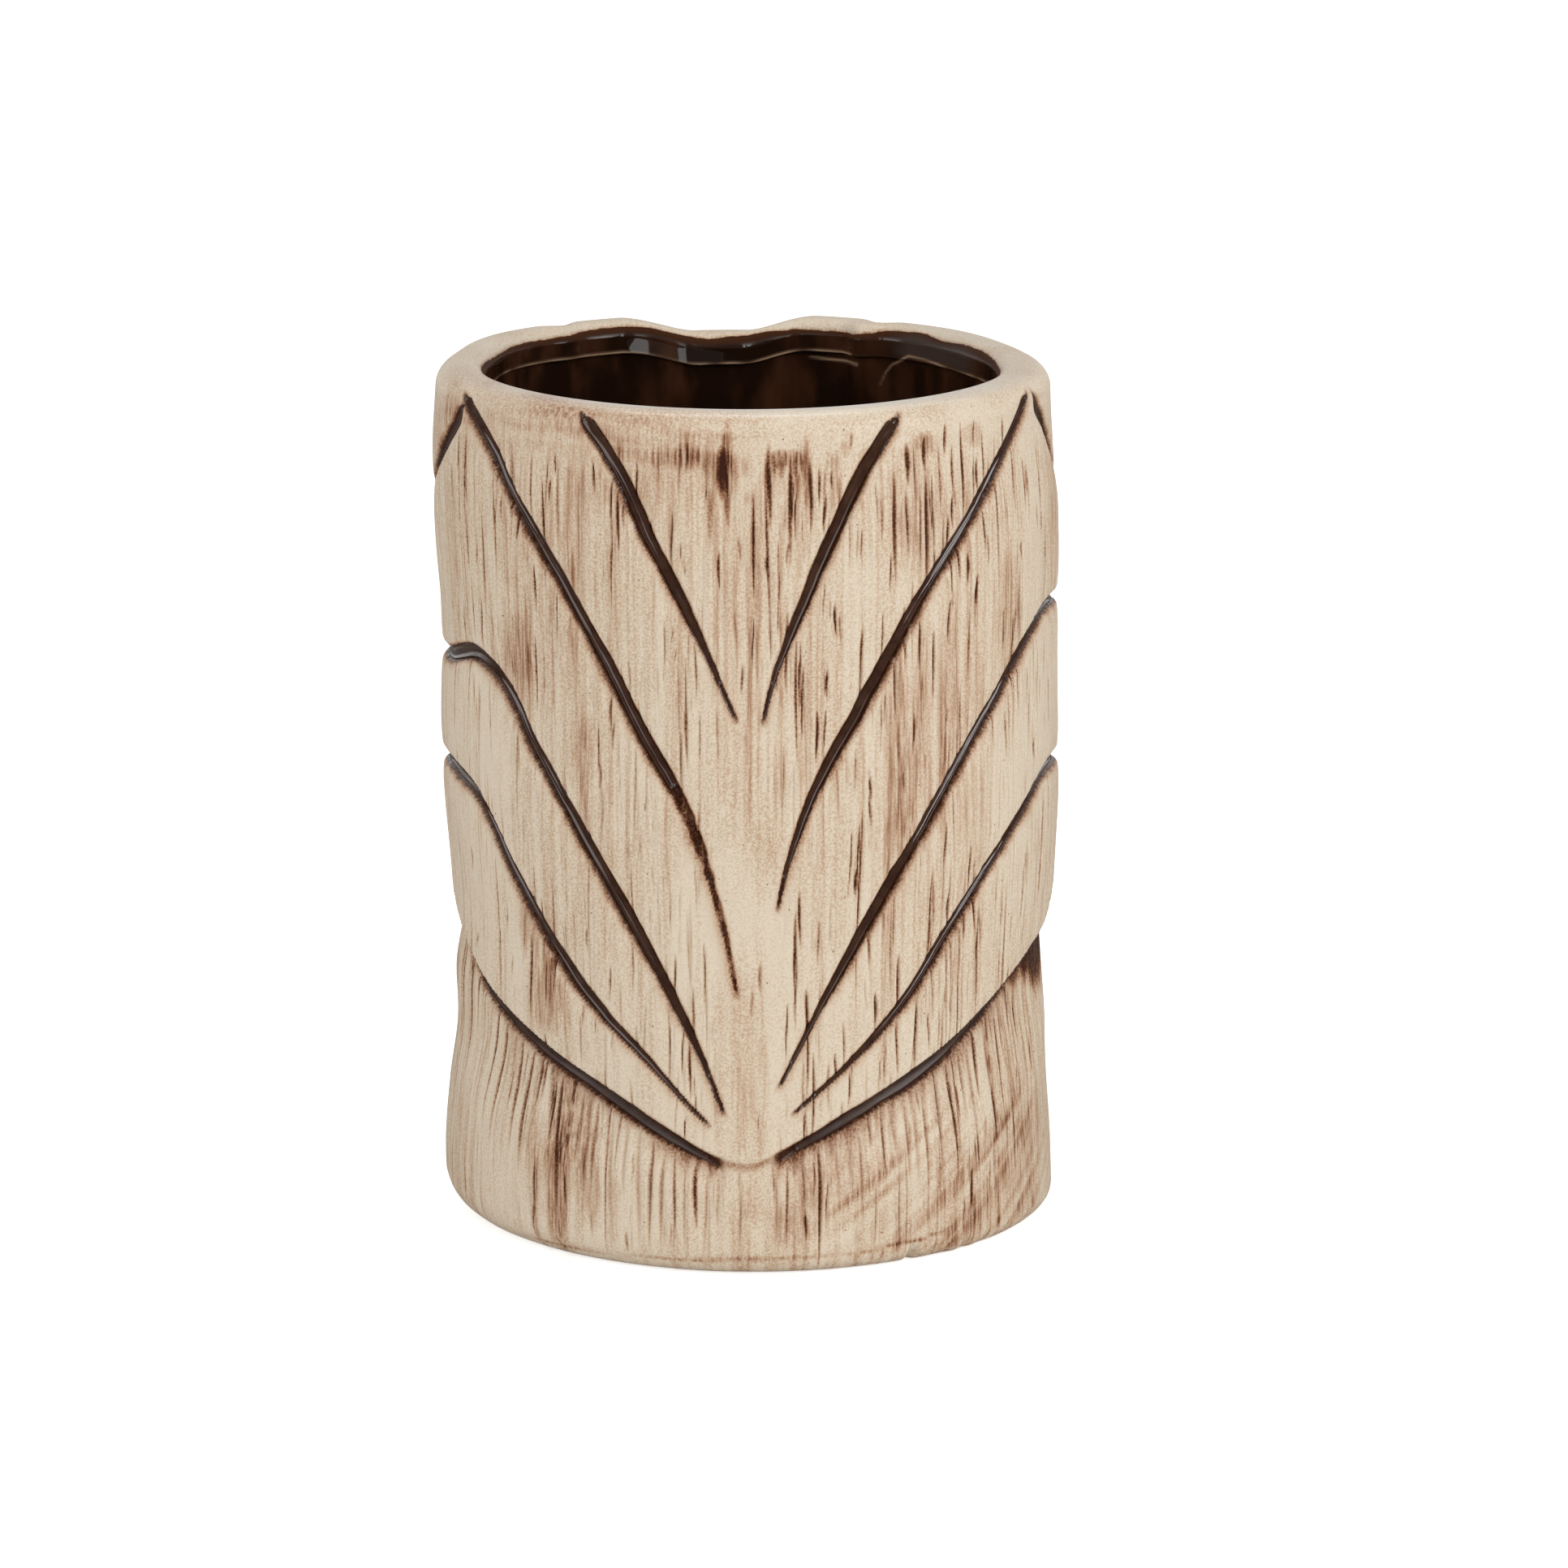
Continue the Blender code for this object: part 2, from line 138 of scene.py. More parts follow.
# Carved lines: name, width and the places that a smooth curve goes through
LEAF_LINES = (
    ("left_1", 2.3, ((-31.5, 123.6), (-28.4, 121.3), (-24, 116.5), (-18, 107), (-10, 95), (-5, 86.5),
     (-1.3, 80))),
    ("left_2", 2.2, ((-63.8, 123.2), (-56, 119), (-46, 110), (-33, 96.5), (-19, 78.2), (-11, 67.5),
     (-6, 56), (-1.5, 39.5))),
    ("left_3", 2.3, ((-126, 82), (-100, 83), (-77, 83.8), (-60, 86), (-53, 84), (-42, 74), (-25, 55.3),
     (-10, 34.5), (-3.7, 23))),
    ("left_4", 2.2, ((-122, 66), (-95, 67), (-74, 67.8), (-61, 65.3), (-50, 56), (-34, 41.8),
     (-18.6, 31), (-6, 21.5))),
    ("right_1", 2.3, ((28.3, 123.6), (25.8, 121.3), (21.5, 116.5), (15, 107), (9.5, 97), (5, 88),
     (2.2, 79.6))),
    ("right_2", 2.1, ((65.5, 123.2), (59.5, 119), (46, 109), (33, 97.5), (20, 81.5), (12, 71), (7, 60),
     (4.9, 52.6))),
    ("right_3", 2.0, ((130, 87), (108, 89), (90, 90.5), (71, 91), (63, 88), (50, 79.5), (31, 61.3),
     (15, 41.5), (4.6, 26.8))),
    ("right_4", 2.0, ((128, 64), (105, 65.5), (88, 67), (72, 67), (60, 62.4), (45, 52.5), (29.5, 38.4),
     (17.5, 30), (6.8, 23.2))),
)
LEAF_DEPTH = 1.5
PATCHY_LINE = "leaf_glaze_left_2"
# Name, width, depth and places
TEMPLE_LINES = (
    ("left", 2.2, 1.4, ((-63.5, 122), (-66, 119.5), (-71, 116), (-79, 111.5), (-92, 105), (-108, 98),
     (-126, 95))),
    ("right", 1.9, 1.3, ((68, 123), (70, 121), (74, 118.5), (82, 113), (96, 105), (112, 98), (130, 95))),
)
# Name, width, depth and places as (arc from the face's middle, height)
FACE_LINES = (
    ("brow", 2.4, 1.5, ((5, 80.4), (12, 81.9), (22, 81.4), (32, 77), (38, 70.5))),
    ("forehead", 2.1, 1.4, ((26, 123), (26, 112), (27, 101), (30, 90))),
    ("upper_lid", 1.8, 1.2, ((7.5, 64.5), (13, 69.5), (20, 71), (27, 69), (32, 64))),
    ("lower_lid", 1.6, 1.1, ((9, 63), (15, 60), (21, 59.3), (27, 60.8), (31, 63.4))),
    ("nose", 2.0, 1.3, ((9.5, 57), (12.5, 53.5), (15, 49.5), (15, 45), (11, 42.2))),
    ("cheek", 2.0, 1.3, ((19.5, 47.5), (24, 41.5), (26.5, 35), (26.5, 27.5))),
)
MOUTH_LINE = (2.5, 1.7, ((-19.5, 31.3), (-10, 29.8), (0, 29.2), (10, 29.8), (19.5, 31.3)))
# The line along the foot of the head's edge: name, first and last turn
EDGE_LINES = (("left", -76, -4), ("right", 78, 5.2))
EDGE_LINE_SIZE = (2.9, 1.0)
EDGE_LINE_DROP = 1.5
LEFT_EXTRA_DROP = 2.3
RIGHT_EXTRA_DROP = 0.8

# The glaze in a line: its share of the half width, how deep it is bedded, how far its middle rises
# as a share of the walls beside it, and the least size and gloss of line that holds any
POOL_SHARE = 0.8
POOL_BEDDING = 0.15
POOL_RISE = 0.30
POOL_LEAST_SIZE = 0.22
POOL_LEAST_GLOSS = 0.3

# Stains that the brown wash left: (turn, height, half width in arc, half height, strength)
WASH_PATCHES = (
    (-39, 15, 7.5, 14, 0.9), (-33, 19, 5, 8, 0.6), (24, 13, 16, 9, 0.38), (62, 16, 16, 15, 0.42),
    (-32, 75, 4, 13, 0.6), (-49, 87, 6, 15, 0.75), (-41, 40, 4.5, 11, 1), (29, 76, 4.5, 27, 0.9),
    (30, 108, 7, 12, 0.6), (-4.5, 116, 4.5, 7, 0.85), (8, 115, 5, 7, 0.75), (-10, 119, 4, 3, 0.6),
    (-25, 113, 14, 6, 0.55), (18, 117, 9, 3, 0.4), (44, 60, 4, 14, 0.4), (0, 11, 4, 7, 0.45),
    (-70, 100, 8, 20, 0.45), (75, 100, 6, 16, 0.35), (104, 70, 12, 16, 0.6), (-108, 60, 12, 18, 0.6),
    (110, 22, 14, 16, 0.7), (-112, 24, 14, 16, 0.7), (140, 100, 9, 16, 0.6), (-130, 104, 9, 14, 0.6),
    (186, 100, 6, 18, 0.6), (155, 30, 8, 12, 0.4), (217, 30, 8, 12, 0.4), (186, 6, 22, 4, 0.5),
    (56, 92, 5, 16, 0.62), (0.5, 31, 7, 22, 0.42), (3, 64, 3, 12, 0.35),
)
# Smooth blots, most of them where the wash pooled under the rim, in the same terms
BLOTS = (
    (-5.6, 118.8, 3.6, 1.9, 0.52), (-6.9, 114.6, 1.2, 5, 0.4), (-3.6, 115.6, 1.5, 3.4, 0.42),
    (6.8, 118.6, 3.6, 1.7, 0.56), (9.6, 117, 1.3, 3, 0.36), (3.2, 116.5, 1, 3.4, 0.42),
    (17.5, 119.8, 1.6, 1.6, 0.4), (0.4, 113.2, 1, 1.1, 0.4), (33.5, 119.4, 2.6, 2, 0.44),
    (-15, 118.4, 3.4, 1.5, 0.16), (46, 119.6, 3, 2.2, 0.34), (-38.5, 17, 3.6, 12.5, 0.44),
    (-31, 13, 2.6, 9, 0.34), (-46, 48, 2.6, 5, 0.36), (-26, 9, 1.6, 7, 0.26), (12, 13, 3, 6, 0.36),
    (8, 8, 4.5, 4.5, 0.34), (-40.5, 38, 4.6, 6, 0.42),
)
# The brown line left round the foot: (turn, height)
FOOT_LINE = (
    (-180, 2.2), (-60, 2), (-37, 1.9), (-13, 2.4), (7, 2.8), (30, 3.4), (47, 4.7), (70, 3.6), (180, 2.2),
)
# Dark streaks, most of them under the rim: (turn, top, length, half width, strength)
RIM_STREAKS = (
    (-4.5, 121, 9, 0.95, 0.95), (-3.6, 116.5, 9, 0.55, 0.55), (-6.8, 115.5, 11, 0.6, 0.5),
    (-2.2, 120, 7, 0.7, 0.42), (-7.6, 119.8, 5, 0.9, 0.42), (-0.5, 119.3, 4, 0.8, 0.35),
    (3.8, 120.9, 13, 0.42, 0.95), (4.7, 120, 5, 0.6, 0.6), (6, 119.8, 5, 0.6, 0.55),
    (7.6, 119.8, 17, 0.4, 0.95), (8.6, 119.6, 5, 0.55, 0.6), (9.8, 119.6, 4.5, 0.5, 0.55),
    (11.2, 119, 12, 0.36, 0.85), (13.8, 117.7, 7, 0.28, 0.55), (15.2, 117.1, 4, 0.22, 0.75),
    (18.8, 122.2, 3.2, 0.28, 0.6), (-12.3, 121.8, 10, 0.3, 0.55), (-16, 121, 7, 0.24, 0.5),
    (-1.5, 108, 5, 0.3, 0.55), (30, 119.9, 6.5, 0.5, 0.95), (27.2, 116.5, 18, 0.38, 0.85),
    (29.7, 113.5, 11, 0.3, 0.75), (33.8, 120.7, 6, 0.44, 0.85), (34, 115.5, 19, 0.36, 0.95),
    (37, 119.7, 13, 0.26, 0.65), (42.6, 122, 16, 0.28, 0.95), (46, 121.8, 5, 0.24, 0.75),
    (55, 121.3, 6, 0.24, 0.95), (24.5, 113, 8, 0.3, 0.55), (50, 116, 9, 0.2, 0.65),
    (-42, 118, 12, 0.22, 0.7), (-46.5, 117, 8, 0.22, 0.6), (-36, 118, 15, 0.26, 0.6),
    (-52, 113, 16, 0.24, 0.75), (-56, 108, 18, 0.24, 0.7), (-2.2, 98, 8, 0.28, 0.5),
    (2.2, 46.5, 5.5, 0.32, 0.6), (0.6, 42.5, 5, 0.3, 0.55), (38.5, 122, 5, 0.3, 0.9),
    (40.2, 119, 9, 0.26, 0.85), (48.5, 120, 10, 0.22, 0.85), (58, 118, 12, 0.22, 0.75),
    (-1.8, 34, 9, 0.2, 0.28), (3.4, 36, 10, 0.2, 0.26), (0.9, 29, 7, 0.2, 0.3),
)

# How finely the surfaces are divided
COLUMNS = 1408
COLUMN_ARC = 2 * math.pi * RADIUS / COLUMNS
ROW_STEP = 0.36
ROUNDING_STEPS = 12
LINE_STEP = 0.3
LINE_REACH = 6.0
LINE_END_SIZE = 0.16
HOLLOW_REACH = (14, 22)
GRAIN_STROKES = 3600
SEED = 11

STUDIO_WHITE = (1.0, 1.0, 1.0)
AMBIENT = 0.5
REFLECTED_STUDIO = 0.12
REFLECTED_CEILING = 0.9
REFLECTED_BACKDROP = 1.1
REFLECTED_SWEEP = 0.7
# Lights: name, place in metres, width, height and power
LIGHTS = (
    ("window_right_near", (0.866, -0.897, 0.50), 0.24, 0.9, 4.1),
    ("window_right_far", (1.114, -0.567, 0.50), 0.26, 0.9, 4.1),
    ("softbox_left", (-1.145, -0.510, 0.50), 0.5, 0.9, 3.4),
    ("softbox_left_near", (-0.510, -1.145, 0.50), 0.55, 0.9, 3.0),
    ("softbox_top", (0.0, 0.1, 1.3), 0.9, 0.7, 2.4),
)
# The camera's place in metres, how far it looks down and to the side in degrees, and its lens
CAMERA_PLACE = (0, -0.9966, 0.2903)
CAMERA_DOWN = 12.903
CAMERA_ASIDE = -0.303
CAMERA_LENS = 160.1
SENSOR_WIDTH = 36

# From bare cream glaze to the darkest stain: (amount, colour)
STAIN_COLOURS = (
    (0.00, (0.665, 0.568, 0.440)), (0.15, (0.620, 0.510, 0.383)), (0.30, (0.560, 0.422, 0.295)),
    (0.45, (0.470, 0.312, 0.200)), (0.60, (0.340, 0.186, 0.106)), (0.75, (0.195, 0.084, 0.039)),
    (0.88, (0.095, 0.031, 0.012)), (1.00, (0.042, 0.010, 0.003)),
)
LINE_GLAZE = (0.034, 0.0115, 0.005)
LINE_GLAZE_THIN = (0.054, 0.021, 0.010)
INSIDE_GLAZE = (0.014, 0.0058, 0.0030)
INSIDE_GLAZE_THIN = (0.070, 0.026, 0.012)
LIP_GLAZE = (0.048, 0.017, 0.007)
# Painted sheen: a grey reflection painted into the inside glaze's colour past the right-hand crease
PAINTED_SHEEN_GLAZE = (0.062, 0.040, 0.032)
# Pale colour for the ledge and fold lines: partly glaze thinning over edges, partly painted highlights
PALE_GLAZE_AND_HIGHLIGHT = (0.42, 0.27, 0.17)


# --- Numbers that vary smoothly ---


def ramp(low, high, value):
    """0 at low and 1 at high, with a smooth change between them. Low may be the larger number."""
    t = np.clip((value - low) / (high - low), 0, 1)
    return t * t * (3 - 2 * t)


def through(points, x):
    """A smooth curve through (x, y) points, held level past its ends."""
    xs, ys = np.array(points, float).T
    slopes = np.gradient(ys, xs)
    x = np.clip(x, xs[0], xs[-1])
    i = np.clip(np.searchsorted(xs, x) - 1, 0, len(xs) - 2)
    width = xs[i + 1] - xs[i]
    t = (x - xs[i]) / width
    start = ys[i] * (1 + 2 * t) * (1 - t) ** 2 + width * slopes[i] * t * (1 - t) ** 2
    end = ys[i + 1] * t**2 * (3 - 2 * t) + width * slopes[i + 1] * t**2 * (t - 1)
    return start + end


def mound(arc, height, middle, level, half_arc, half_height, rise, level_share):
    """A rounded rise: full inside its level share, and nothing past its half sizes."""
    reach = np.hypot((arc - middle) / half_arc, (height - level) / half_height)
    return rise * ramp(1.0, level_share, reach)


def noise(turn, height, cells_round, cell_height, seed):
    """Smooth noise from -1 to 1 over the wall, which meets itself at a full turn."""
    rows = 96
    table = np.random.default_rng(seed).uniform(-1, 1, (cells_round, rows))
    u, v = np.asarray(turn) / 360 * cells_round, np.asarray(height) / cell_height
    iu, iv = np.floor(u).astype(int), np.floor(v).astype(int)
    fu, fv = ramp(0, 1, u - iu), ramp(0, 1, v - iv)
    left, right = iu % cells_round, (iu + 1) % cells_round
    low, high = iv % rows, (iv + 1) % rows
    bottom = table[left, low] * (1 - fu) + table[right, low] * fu
    top = table[left, high] * (1 - fu) + table[right, high] * fu
    return bottom * (1 - fv) + top * fv


def rounding(size, past):
    """How far a rounded edge has curved away at a distance past where it starts."""
    return size - np.sqrt(size**2 - np.clip(past, 0, size) ** 2)


def signed(turn):
    """The same turn, from -180 to 180."""
    return (turn + 180) % 360 - 180


def arc_from(middle, turn):
    """The arc along the wall from one turn to another."""
    return np.radians(signed(turn - middle)) * RADIUS


def side_share(turn, middle):
    """1 at the middle turn, easing to 0 a quarter turn away."""
    return np.clip(np.cos(np.radians(turn - middle)), 0, 1) ** 2


# --- The shape of the wall ---


def rim_lobes(turn, left_crease=1.0):
    """A valley down the forehead's middle, a lobe each side of it, and a crease before each temple."""
    arc = arc_from(FACE_TURN, turn)
    side = np.abs(arc)
    beside = ramp(4.5, 15.5, side)
    crease = ramp(4.0, 0, np.abs(side - CREASE_ARC)) * np.where(arc > 0, left_crease, 1.0)
    return 3.2 * beside * ramp(58, 32, side) - 3.0 * (1 - beside) - 2.0 * crease


def rim_rise(turn):
    """The rim dips in the valley, and a little across the lobes and on two other sides."""
    side = np.abs(arc_from(FACE_TURN, turn))
    beside = ramp(4.5, 15.5, side)
    lobes = -1.8 * (1 - beside) - 0.35 * beside * ramp(58, 32, side)
    return lobes - 0.3 * side_share(turn, 0) - 0.5 * side_share(turn, 120)


def face_relief(turn, height):
    """How far the face stands out from the wall: its lobes, forms and nose."""
    side = np.abs(arc_from(FACE_TURN, turn))
    relief = rim_lobes(turn) * ramp(80, 92, height)
    relief += sum(mound(side, height, *form) for form in FACE_FORMS)
    nose_half = 5.5 + 7.5 * ramp(80, 48, height)
    nose_rise = (3.0 + 5.0 * ramp(84, 50, height)) * ramp(43.5, 47.5, height)
    return relief + nose_rise * ramp(1.0, 0.35, side / nose_half) * ramp(92, 78, height)


def head_edge(turn):
    start = FACE_TURN - 360
    return through(HEAD_EDGE, (turn - start) % 360 + start)


def trunk_recess(turn, height):
    """How far the trunk sits back under the head's edge, easing out to the full wall below it."""
    edge = head_edge(turn)
    sideways = ramp(15, 40, edge)
    depth = STEP_DEPTH_BACK + (STEP_DEPTH_SIDE - STEP_DEPTH_BACK) * sideways
    under = edge - height
    spine = 0.3 + 0.7 * ramp(2.5, 9, np.abs(signed(turn - 0.6)))
    return spine * depth * ramp(0, STEP_HEIGHT, under) * ramp(6 + 16 * sideways, 1.5, under)


def foot_chip(turn, height):
    """A small chip in the foot's edge, with lumps of glaze beside it."""
    past = signed(turn) - CHIP_TURN
    chip = 1.1 * ramp(1.0, 0.3, np.abs(past) / 1.6)
    lumps = 0.35 * ramp(1.5, 4, past) * ramp(20, 12, past) * noise(turn, 0, 150, 1, 5)
    return ramp(3.4, 1.4, height) * (chip - lumps)


def outer_radius(turn, height):
    """The outer wall without its carved lines, with the slight unevenness of a slip casting."""
    radius = RADIUS + through(WALL_PROFILE, height)
    radius = radius + face_relief(turn, height) - trunk_recess(turn, height)
    foot = FOOT_ROUND - FOOT_ROUND_CHANGE * np.sin(np.radians(turn))
    radius = radius - rounding(OUTER_LIP, height - (HEIGHT - OUTER_LIP)) - rounding(foot, foot - height)
    radius = radius - foot_chip(turn, height)
    radius = radius + through(LEFT_CHANGE, height) * side_share(turn, -90)
    radius = radius + through(RIGHT_CHANGE, height) * side_share(turn, 90)
    return radius + 0.18 * noise(turn, height, 14, 24, 1) + 0.07 * noise(turn, height, 44, 9, 2)


def cavity_radius(turn, height):
    """The clay's inner wall, with the ledge that follows the rim."""
    ledge = LEDGE_HEIGHT - height
    radius = RADIUS - RIM_WALL + through(CAVITY_PROFILE, height) + LEDGE_DEPTH * ramp(0, LEDGE_DROP, ledge)
    aside = signed(turn - FLARE_TURN)
    flare = LIP_FLARE * (0.12 + 0.88 * ramp(-17, -5.5, aside) * ramp(8.5, 5.5, aside))
    above_ledge = np.clip(HEIGHT - INNER_LIP - height, 0, HEIGHT - INNER_LIP - LEDGE_HEIGHT)
    radius = radius - flare * above_ledge * ramp(20, 3, ledge)
    radius = radius + 0.95 * rim_lobes(turn - 2, CAVITY_CREASE) * ramp(78, 100, height)
    radius = radius + 0.12 * noise(turn, height, 20, 11, 3) * ramp(0, 3, ledge)
    changes = sum(change * side_share(turn, middle) for middle, change in CAVITY_CHANGES)
    radius = radius + changes * ramp(60, 100, height)
    return radius - rounding(CAVITY_FILLET, FLOOR_THICKNESS + CAVITY_FILLET - height)


def lifted(turn, height):
    """The height of a place near the top once the rim's dips are added."""
    return height + rim_rise(turn) * ramp(100, HEIGHT, height)


def points_at(turn, radius, height):
    """Vertices in metres."""
    angle = np.radians(turn)
    angle, radius, height = np.broadcast_arrays(angle, radius, height)
    return np.stack([radius * np.sin(angle), -radius * np.cos(angle), height], -1) * MM


# --- Carved lines ---


class CarvedLine:
    """A line carved in the wall, followed in short steps along a smooth path on the unrolled wall."""

    def __init__(self, node, width, depth, places, start_fade, end_fade, seed):
        self.node, self.width, self.depth = node, width, depth
        turns, heights = np.array(places, float).T
        arcs = np.radians(turns) * RADIUS
        along = np.concatenate([[0], np.cumsum(np.hypot(np.diff(arcs), np.diff(heights)))])
        steps = np.arange(0, along[-1], LINE_STEP)
        arc = through(np.column_stack([along, arcs]), steps)
        height = through(np.column_stack([along, heights]), steps)
        across, up = np.gradient(arc), np.gradient(height)
        self.direction = np.column_stack([across, up]) / np.hypot(across, up)[:, None]

        def uneven(cells, number):
            return noise(steps * cells, 0, 256, 1, number)

        wobble = 0.08 * uneven(0.35, seed) + 0.04 * uneven(1.0, seed)
        self.arc = arc - self.direction[:, 1] * wobble
        self.height = height + self.direction[:, 0] * wobble
        to_end = steps[-1] - steps
        taper = LINE_END_SIZE + (1 - LINE_END_SIZE) * ramp(0, end_fade, to_end)
        fade = ramp(-0.6, start_fade, steps) * ramp(-0.5, 3.0, to_end)
        patchy = (node == PATCHY_LINE) * ramp(38, 30, to_end)
        broken = (node == PATCHY_LINE) * ramp(0.05, 0.5, uneven(0.8, seed + 2)) * ramp(36, 22, to_end)
        self.size = fade * taper * (1 + 0.12 * uneven(0.25, seed + 1)) * (1 - 0.3 * broken - 0.15 * patchy)
        self.shallow = 1 - 0.6 * ramp(15, -4, steps) * (self.height[0] > HEIGHT - 5)
        self.glossy = (1 - patchy) * (0.6 if node.startswith("head_edge") else 1.0)
        self.lower_side = np.sign(self.arc.mean()) if abs(self.arc.mean()) > 1 else 1.0

    def half_width(self, size):
        return self.width / 2 * (0.12 + 0.82 * size)

    def section(self, below, size):
        """The share of the line's depth cut away at a distance across it. The upper wall is steeper."""
        half = self.half_width(size) * np.where(below > 0, 1.12, 0.88)
        return np.exp(-((1.05 * np.abs(below) / half) ** 3))


def extra_drop(turn):
    """How much lower the edge's line runs at the sides, where the edge stands further over it."""
    left = LEFT_EXTRA_DROP * ramp(-26, -66, turn) * ramp(-92, -76, turn)
    return left + RIGHT_EXTRA_DROP * ramp(20, 38, turn) * ramp(74, 58, turn)


def edge_places(first, last):
    turns = np.linspace(first, last, 16)
    return np.column_stack([turns, head_edge(turns) - EDGE_LINE_DROP - extra_drop(turns)])


def on_face(places, side):
    return [(FACE_TURN + math.degrees(side * arc / RADIUS), height) for arc, height in places]


def carved_lines():
    """Every carved line, with the lengths over which its start fades and its end tapers."""
    rows = []
    for name, width, places in LEAF_LINES:
        start_fade = 2.2 if places[0][1] > HEIGHT - 5 else 9
        rows.append(("leaf_glaze_" + name, width, LEAF_DEPTH, places, start_fade, 34))
    for name, width, depth, places in TEMPLE_LINES:
        rows.append(("temple_glaze_" + name, width, depth, places, 3, 20))
    for name, first, last in EDGE_LINES:
        rows.append(("head_edge_glaze_" + name, *EDGE_LINE_SIZE, edge_places(first, last), 8, 12))
    for name, width, depth, places in FACE_LINES:
        for side_name, side in (("left", 1), ("right", -1)):
            rows.append((f"{name}_glaze_{side_name}", width, depth, on_face(places, side), 4, 5))
    width, depth, places = MOUTH_LINE
    rows.append(("mouth_glaze", width, depth, on_face(places, 1), 5, 5))
    return [CarvedLine(*row, seed=7 * number) for number, row in enumerate(rows)]


# --- The outer wall's fine surface ---


class Wall:
    """The outer wall as a grid, with how deep it is cut, and its stains: wash, ink and pooled glaze."""

    def __init__(self):
        self.turns = np.arange(COLUMNS) * 360 / COLUMNS
        quarter = np.linspace(0, math.pi / 2, ROUNDING_STEPS)
        foot = FOOT_ROUND * (1 - np.cos(quarter))
        lip = HEIGHT - OUTER_LIP + OUTER_LIP * np.sin(quarter)
        plain = np.arange(FOOT_ROUND + ROW_STEP, HEIGHT - OUTER_LIP - ROW_STEP / 2, ROW_STEP)
        self.heights = np.concatenate([foot, plain, lip])
        self.turn, self.height = np.meshgrid(self.turns, self.heights)
        self.signed = signed(self.turn)
        self.radius = outer_radius(self.turn, self.height)
        self.cut, self.wash, self.ink, self.pool = np.zeros((4, *self.turn.shape))

    def noise(self, cells_round, cell_height, seed):
        return noise(self.turn, self.height, cells_round, cell_height, seed)

    def noise_round(self, cells_round, seed):
        """Noise that is the same all the way up the wall."""
        return noise(self.turn, 0, cells_round, 1, seed)

    def window(self, arc, height, reach_across, reach_up):
        """The rows and columns near a place, with their offsets from it in arc and height."""
        rows = np.flatnonzero(np.abs(self.heights - height) < reach_up)
        middle, spread = round(arc / COLUMN_ARC), math.ceil(reach_across / COLUMN_ARC)
        columns = np.arange(middle - spread, middle + spread + 1)
        across = columns * COLUMN_ARC - arc
        return np.ix_(rows, columns % COLUMNS), across[None, :], (self.heights[rows] - height)[:, None]

    def carve(self, line):
        """Cut a line in. Each place near it takes the depth and the stain of the line's nearest step."""
        nearest = np.full(self.turn.shape, LINE_REACH**2)
        steps = np.zeros(self.turn.shape, int)
        for k in range(len(line.arc)):
            spot, across, up = self.window(line.arc[k], line.height[k], LINE_REACH, LINE_REACH)
            distance = across**2 + up**2
            steps[spot] = np.where(distance < nearest[spot], k, steps[spot])
            nearest[spot] = np.minimum(distance, nearest[spot])
        close = nearest < LINE_REACH**2
        step, turn, height = steps[close], self.turn[close], self.height[close]
        size = line.size[step]
        across, up = arc_from(np.degrees(line.arc[step] / RADIUS), turn), height - line.height[step]
        ahead, lift = line.direction[step].T
        below = (ahead * up - lift * across) * line.lower_side
        past_end = np.maximum(np.abs(ahead * across + lift * up) - LINE_STEP, 0)
        distance = np.copysign(np.hypot(below, past_end), below)
        share = line.section(distance, size)
        shoulder = 0.22 * np.exp(-((distance / 2.6) ** 2)) * size
        depth = line.depth * size * share * line.shallow[step] + shoulder
        self.cut[close] = np.maximum(self.cut[close], depth)
        bottom = ramp(0.26, 0.44, share) * ramp(0.04, 0.16, size)
        self.pool[close] = np.maximum(self.pool[close], bottom * line.glossy[step])
        dry = 0.94 - 0.22 * ramp(0, 0.6, noise(turn, height, 420, 2.4, 9))
        outside = np.maximum(np.abs(distance) - 0.9 * line.half_width(size), 0)
        spread = np.where(distance > 0, 0.75, 0.28) * (1 + 0.45 * noise(turn, height, 170, 3.2, 8))
        halo = np.exp(-((outside / spread) ** 1.3)) * (0.45 + 0.30 * size) * ramp(0.0, 0.1, size)
        self.ink[close] = np.maximum.reduce([self.ink[close], bottom * dry, halo])

    def scratch(self, turn, top, length, half_width, strength, lean, depth):
        """An incised stroke of the grain, dark with the wash that stayed in it."""
        arc = math.radians(turn) * RADIUS
        reach = 4 * half_width + abs(lean) * length + 0.3
        spot, across, up = self.window(arc, top - length / 2, reach, length / 2)
        share = 0.5 - up / length
        bend = lean * (share - 0.5) * length + 0.10 * np.sin(share * 5 + turn)
        width = half_width * (0.45 + 0.55 * np.sin(math.pi * share**0.75))
        body = np.sin(math.pi * np.clip(share, 0, 1) ** 0.8) ** 0.6
        mark = np.exp(-(((across - bend) / width) ** 2)) * body
        self.ink[spot] = np.maximum(self.ink[spot], mark * strength)
        self.cut[spot] = self.cut[spot] + mark * depth

    def shares(self, turn, height, half_arc, half_height):
        """Offsets from a place, as shares of half sizes."""
        return arc_from(turn, self.turn) / half_arc, (self.height - height) / half_height

    def blot(self, turn, height, half_arc, half_height, strength):
        """A soft blot of wash, squarer than round."""
        ragged = 0.20 * self.noise(130, 2.4, 22) + 0.16 * self.noise(300, 9, 23)
        across, up = self.shares(turn, height, half_arc, half_height)
        reach = (np.abs(across) ** 2.6 + np.abs(up) ** 2.6) ** 0.4 + ragged
        self.wash = np.maximum(self.wash, strength * ramp(1.15, 0.45, reach))

    def wash_patch(self, turn, height, half_arc, half_height, strength):
        """A patch of wash, streaked along the grain."""
        reach = np.hypot(*self.shares(turn, height, half_arc, half_height)) + 0.45 * self.noise(200, 30, 21)
        self.wash = np.maximum(self.wash, 0.62 * strength * ramp(1.15, 0.2, reach))

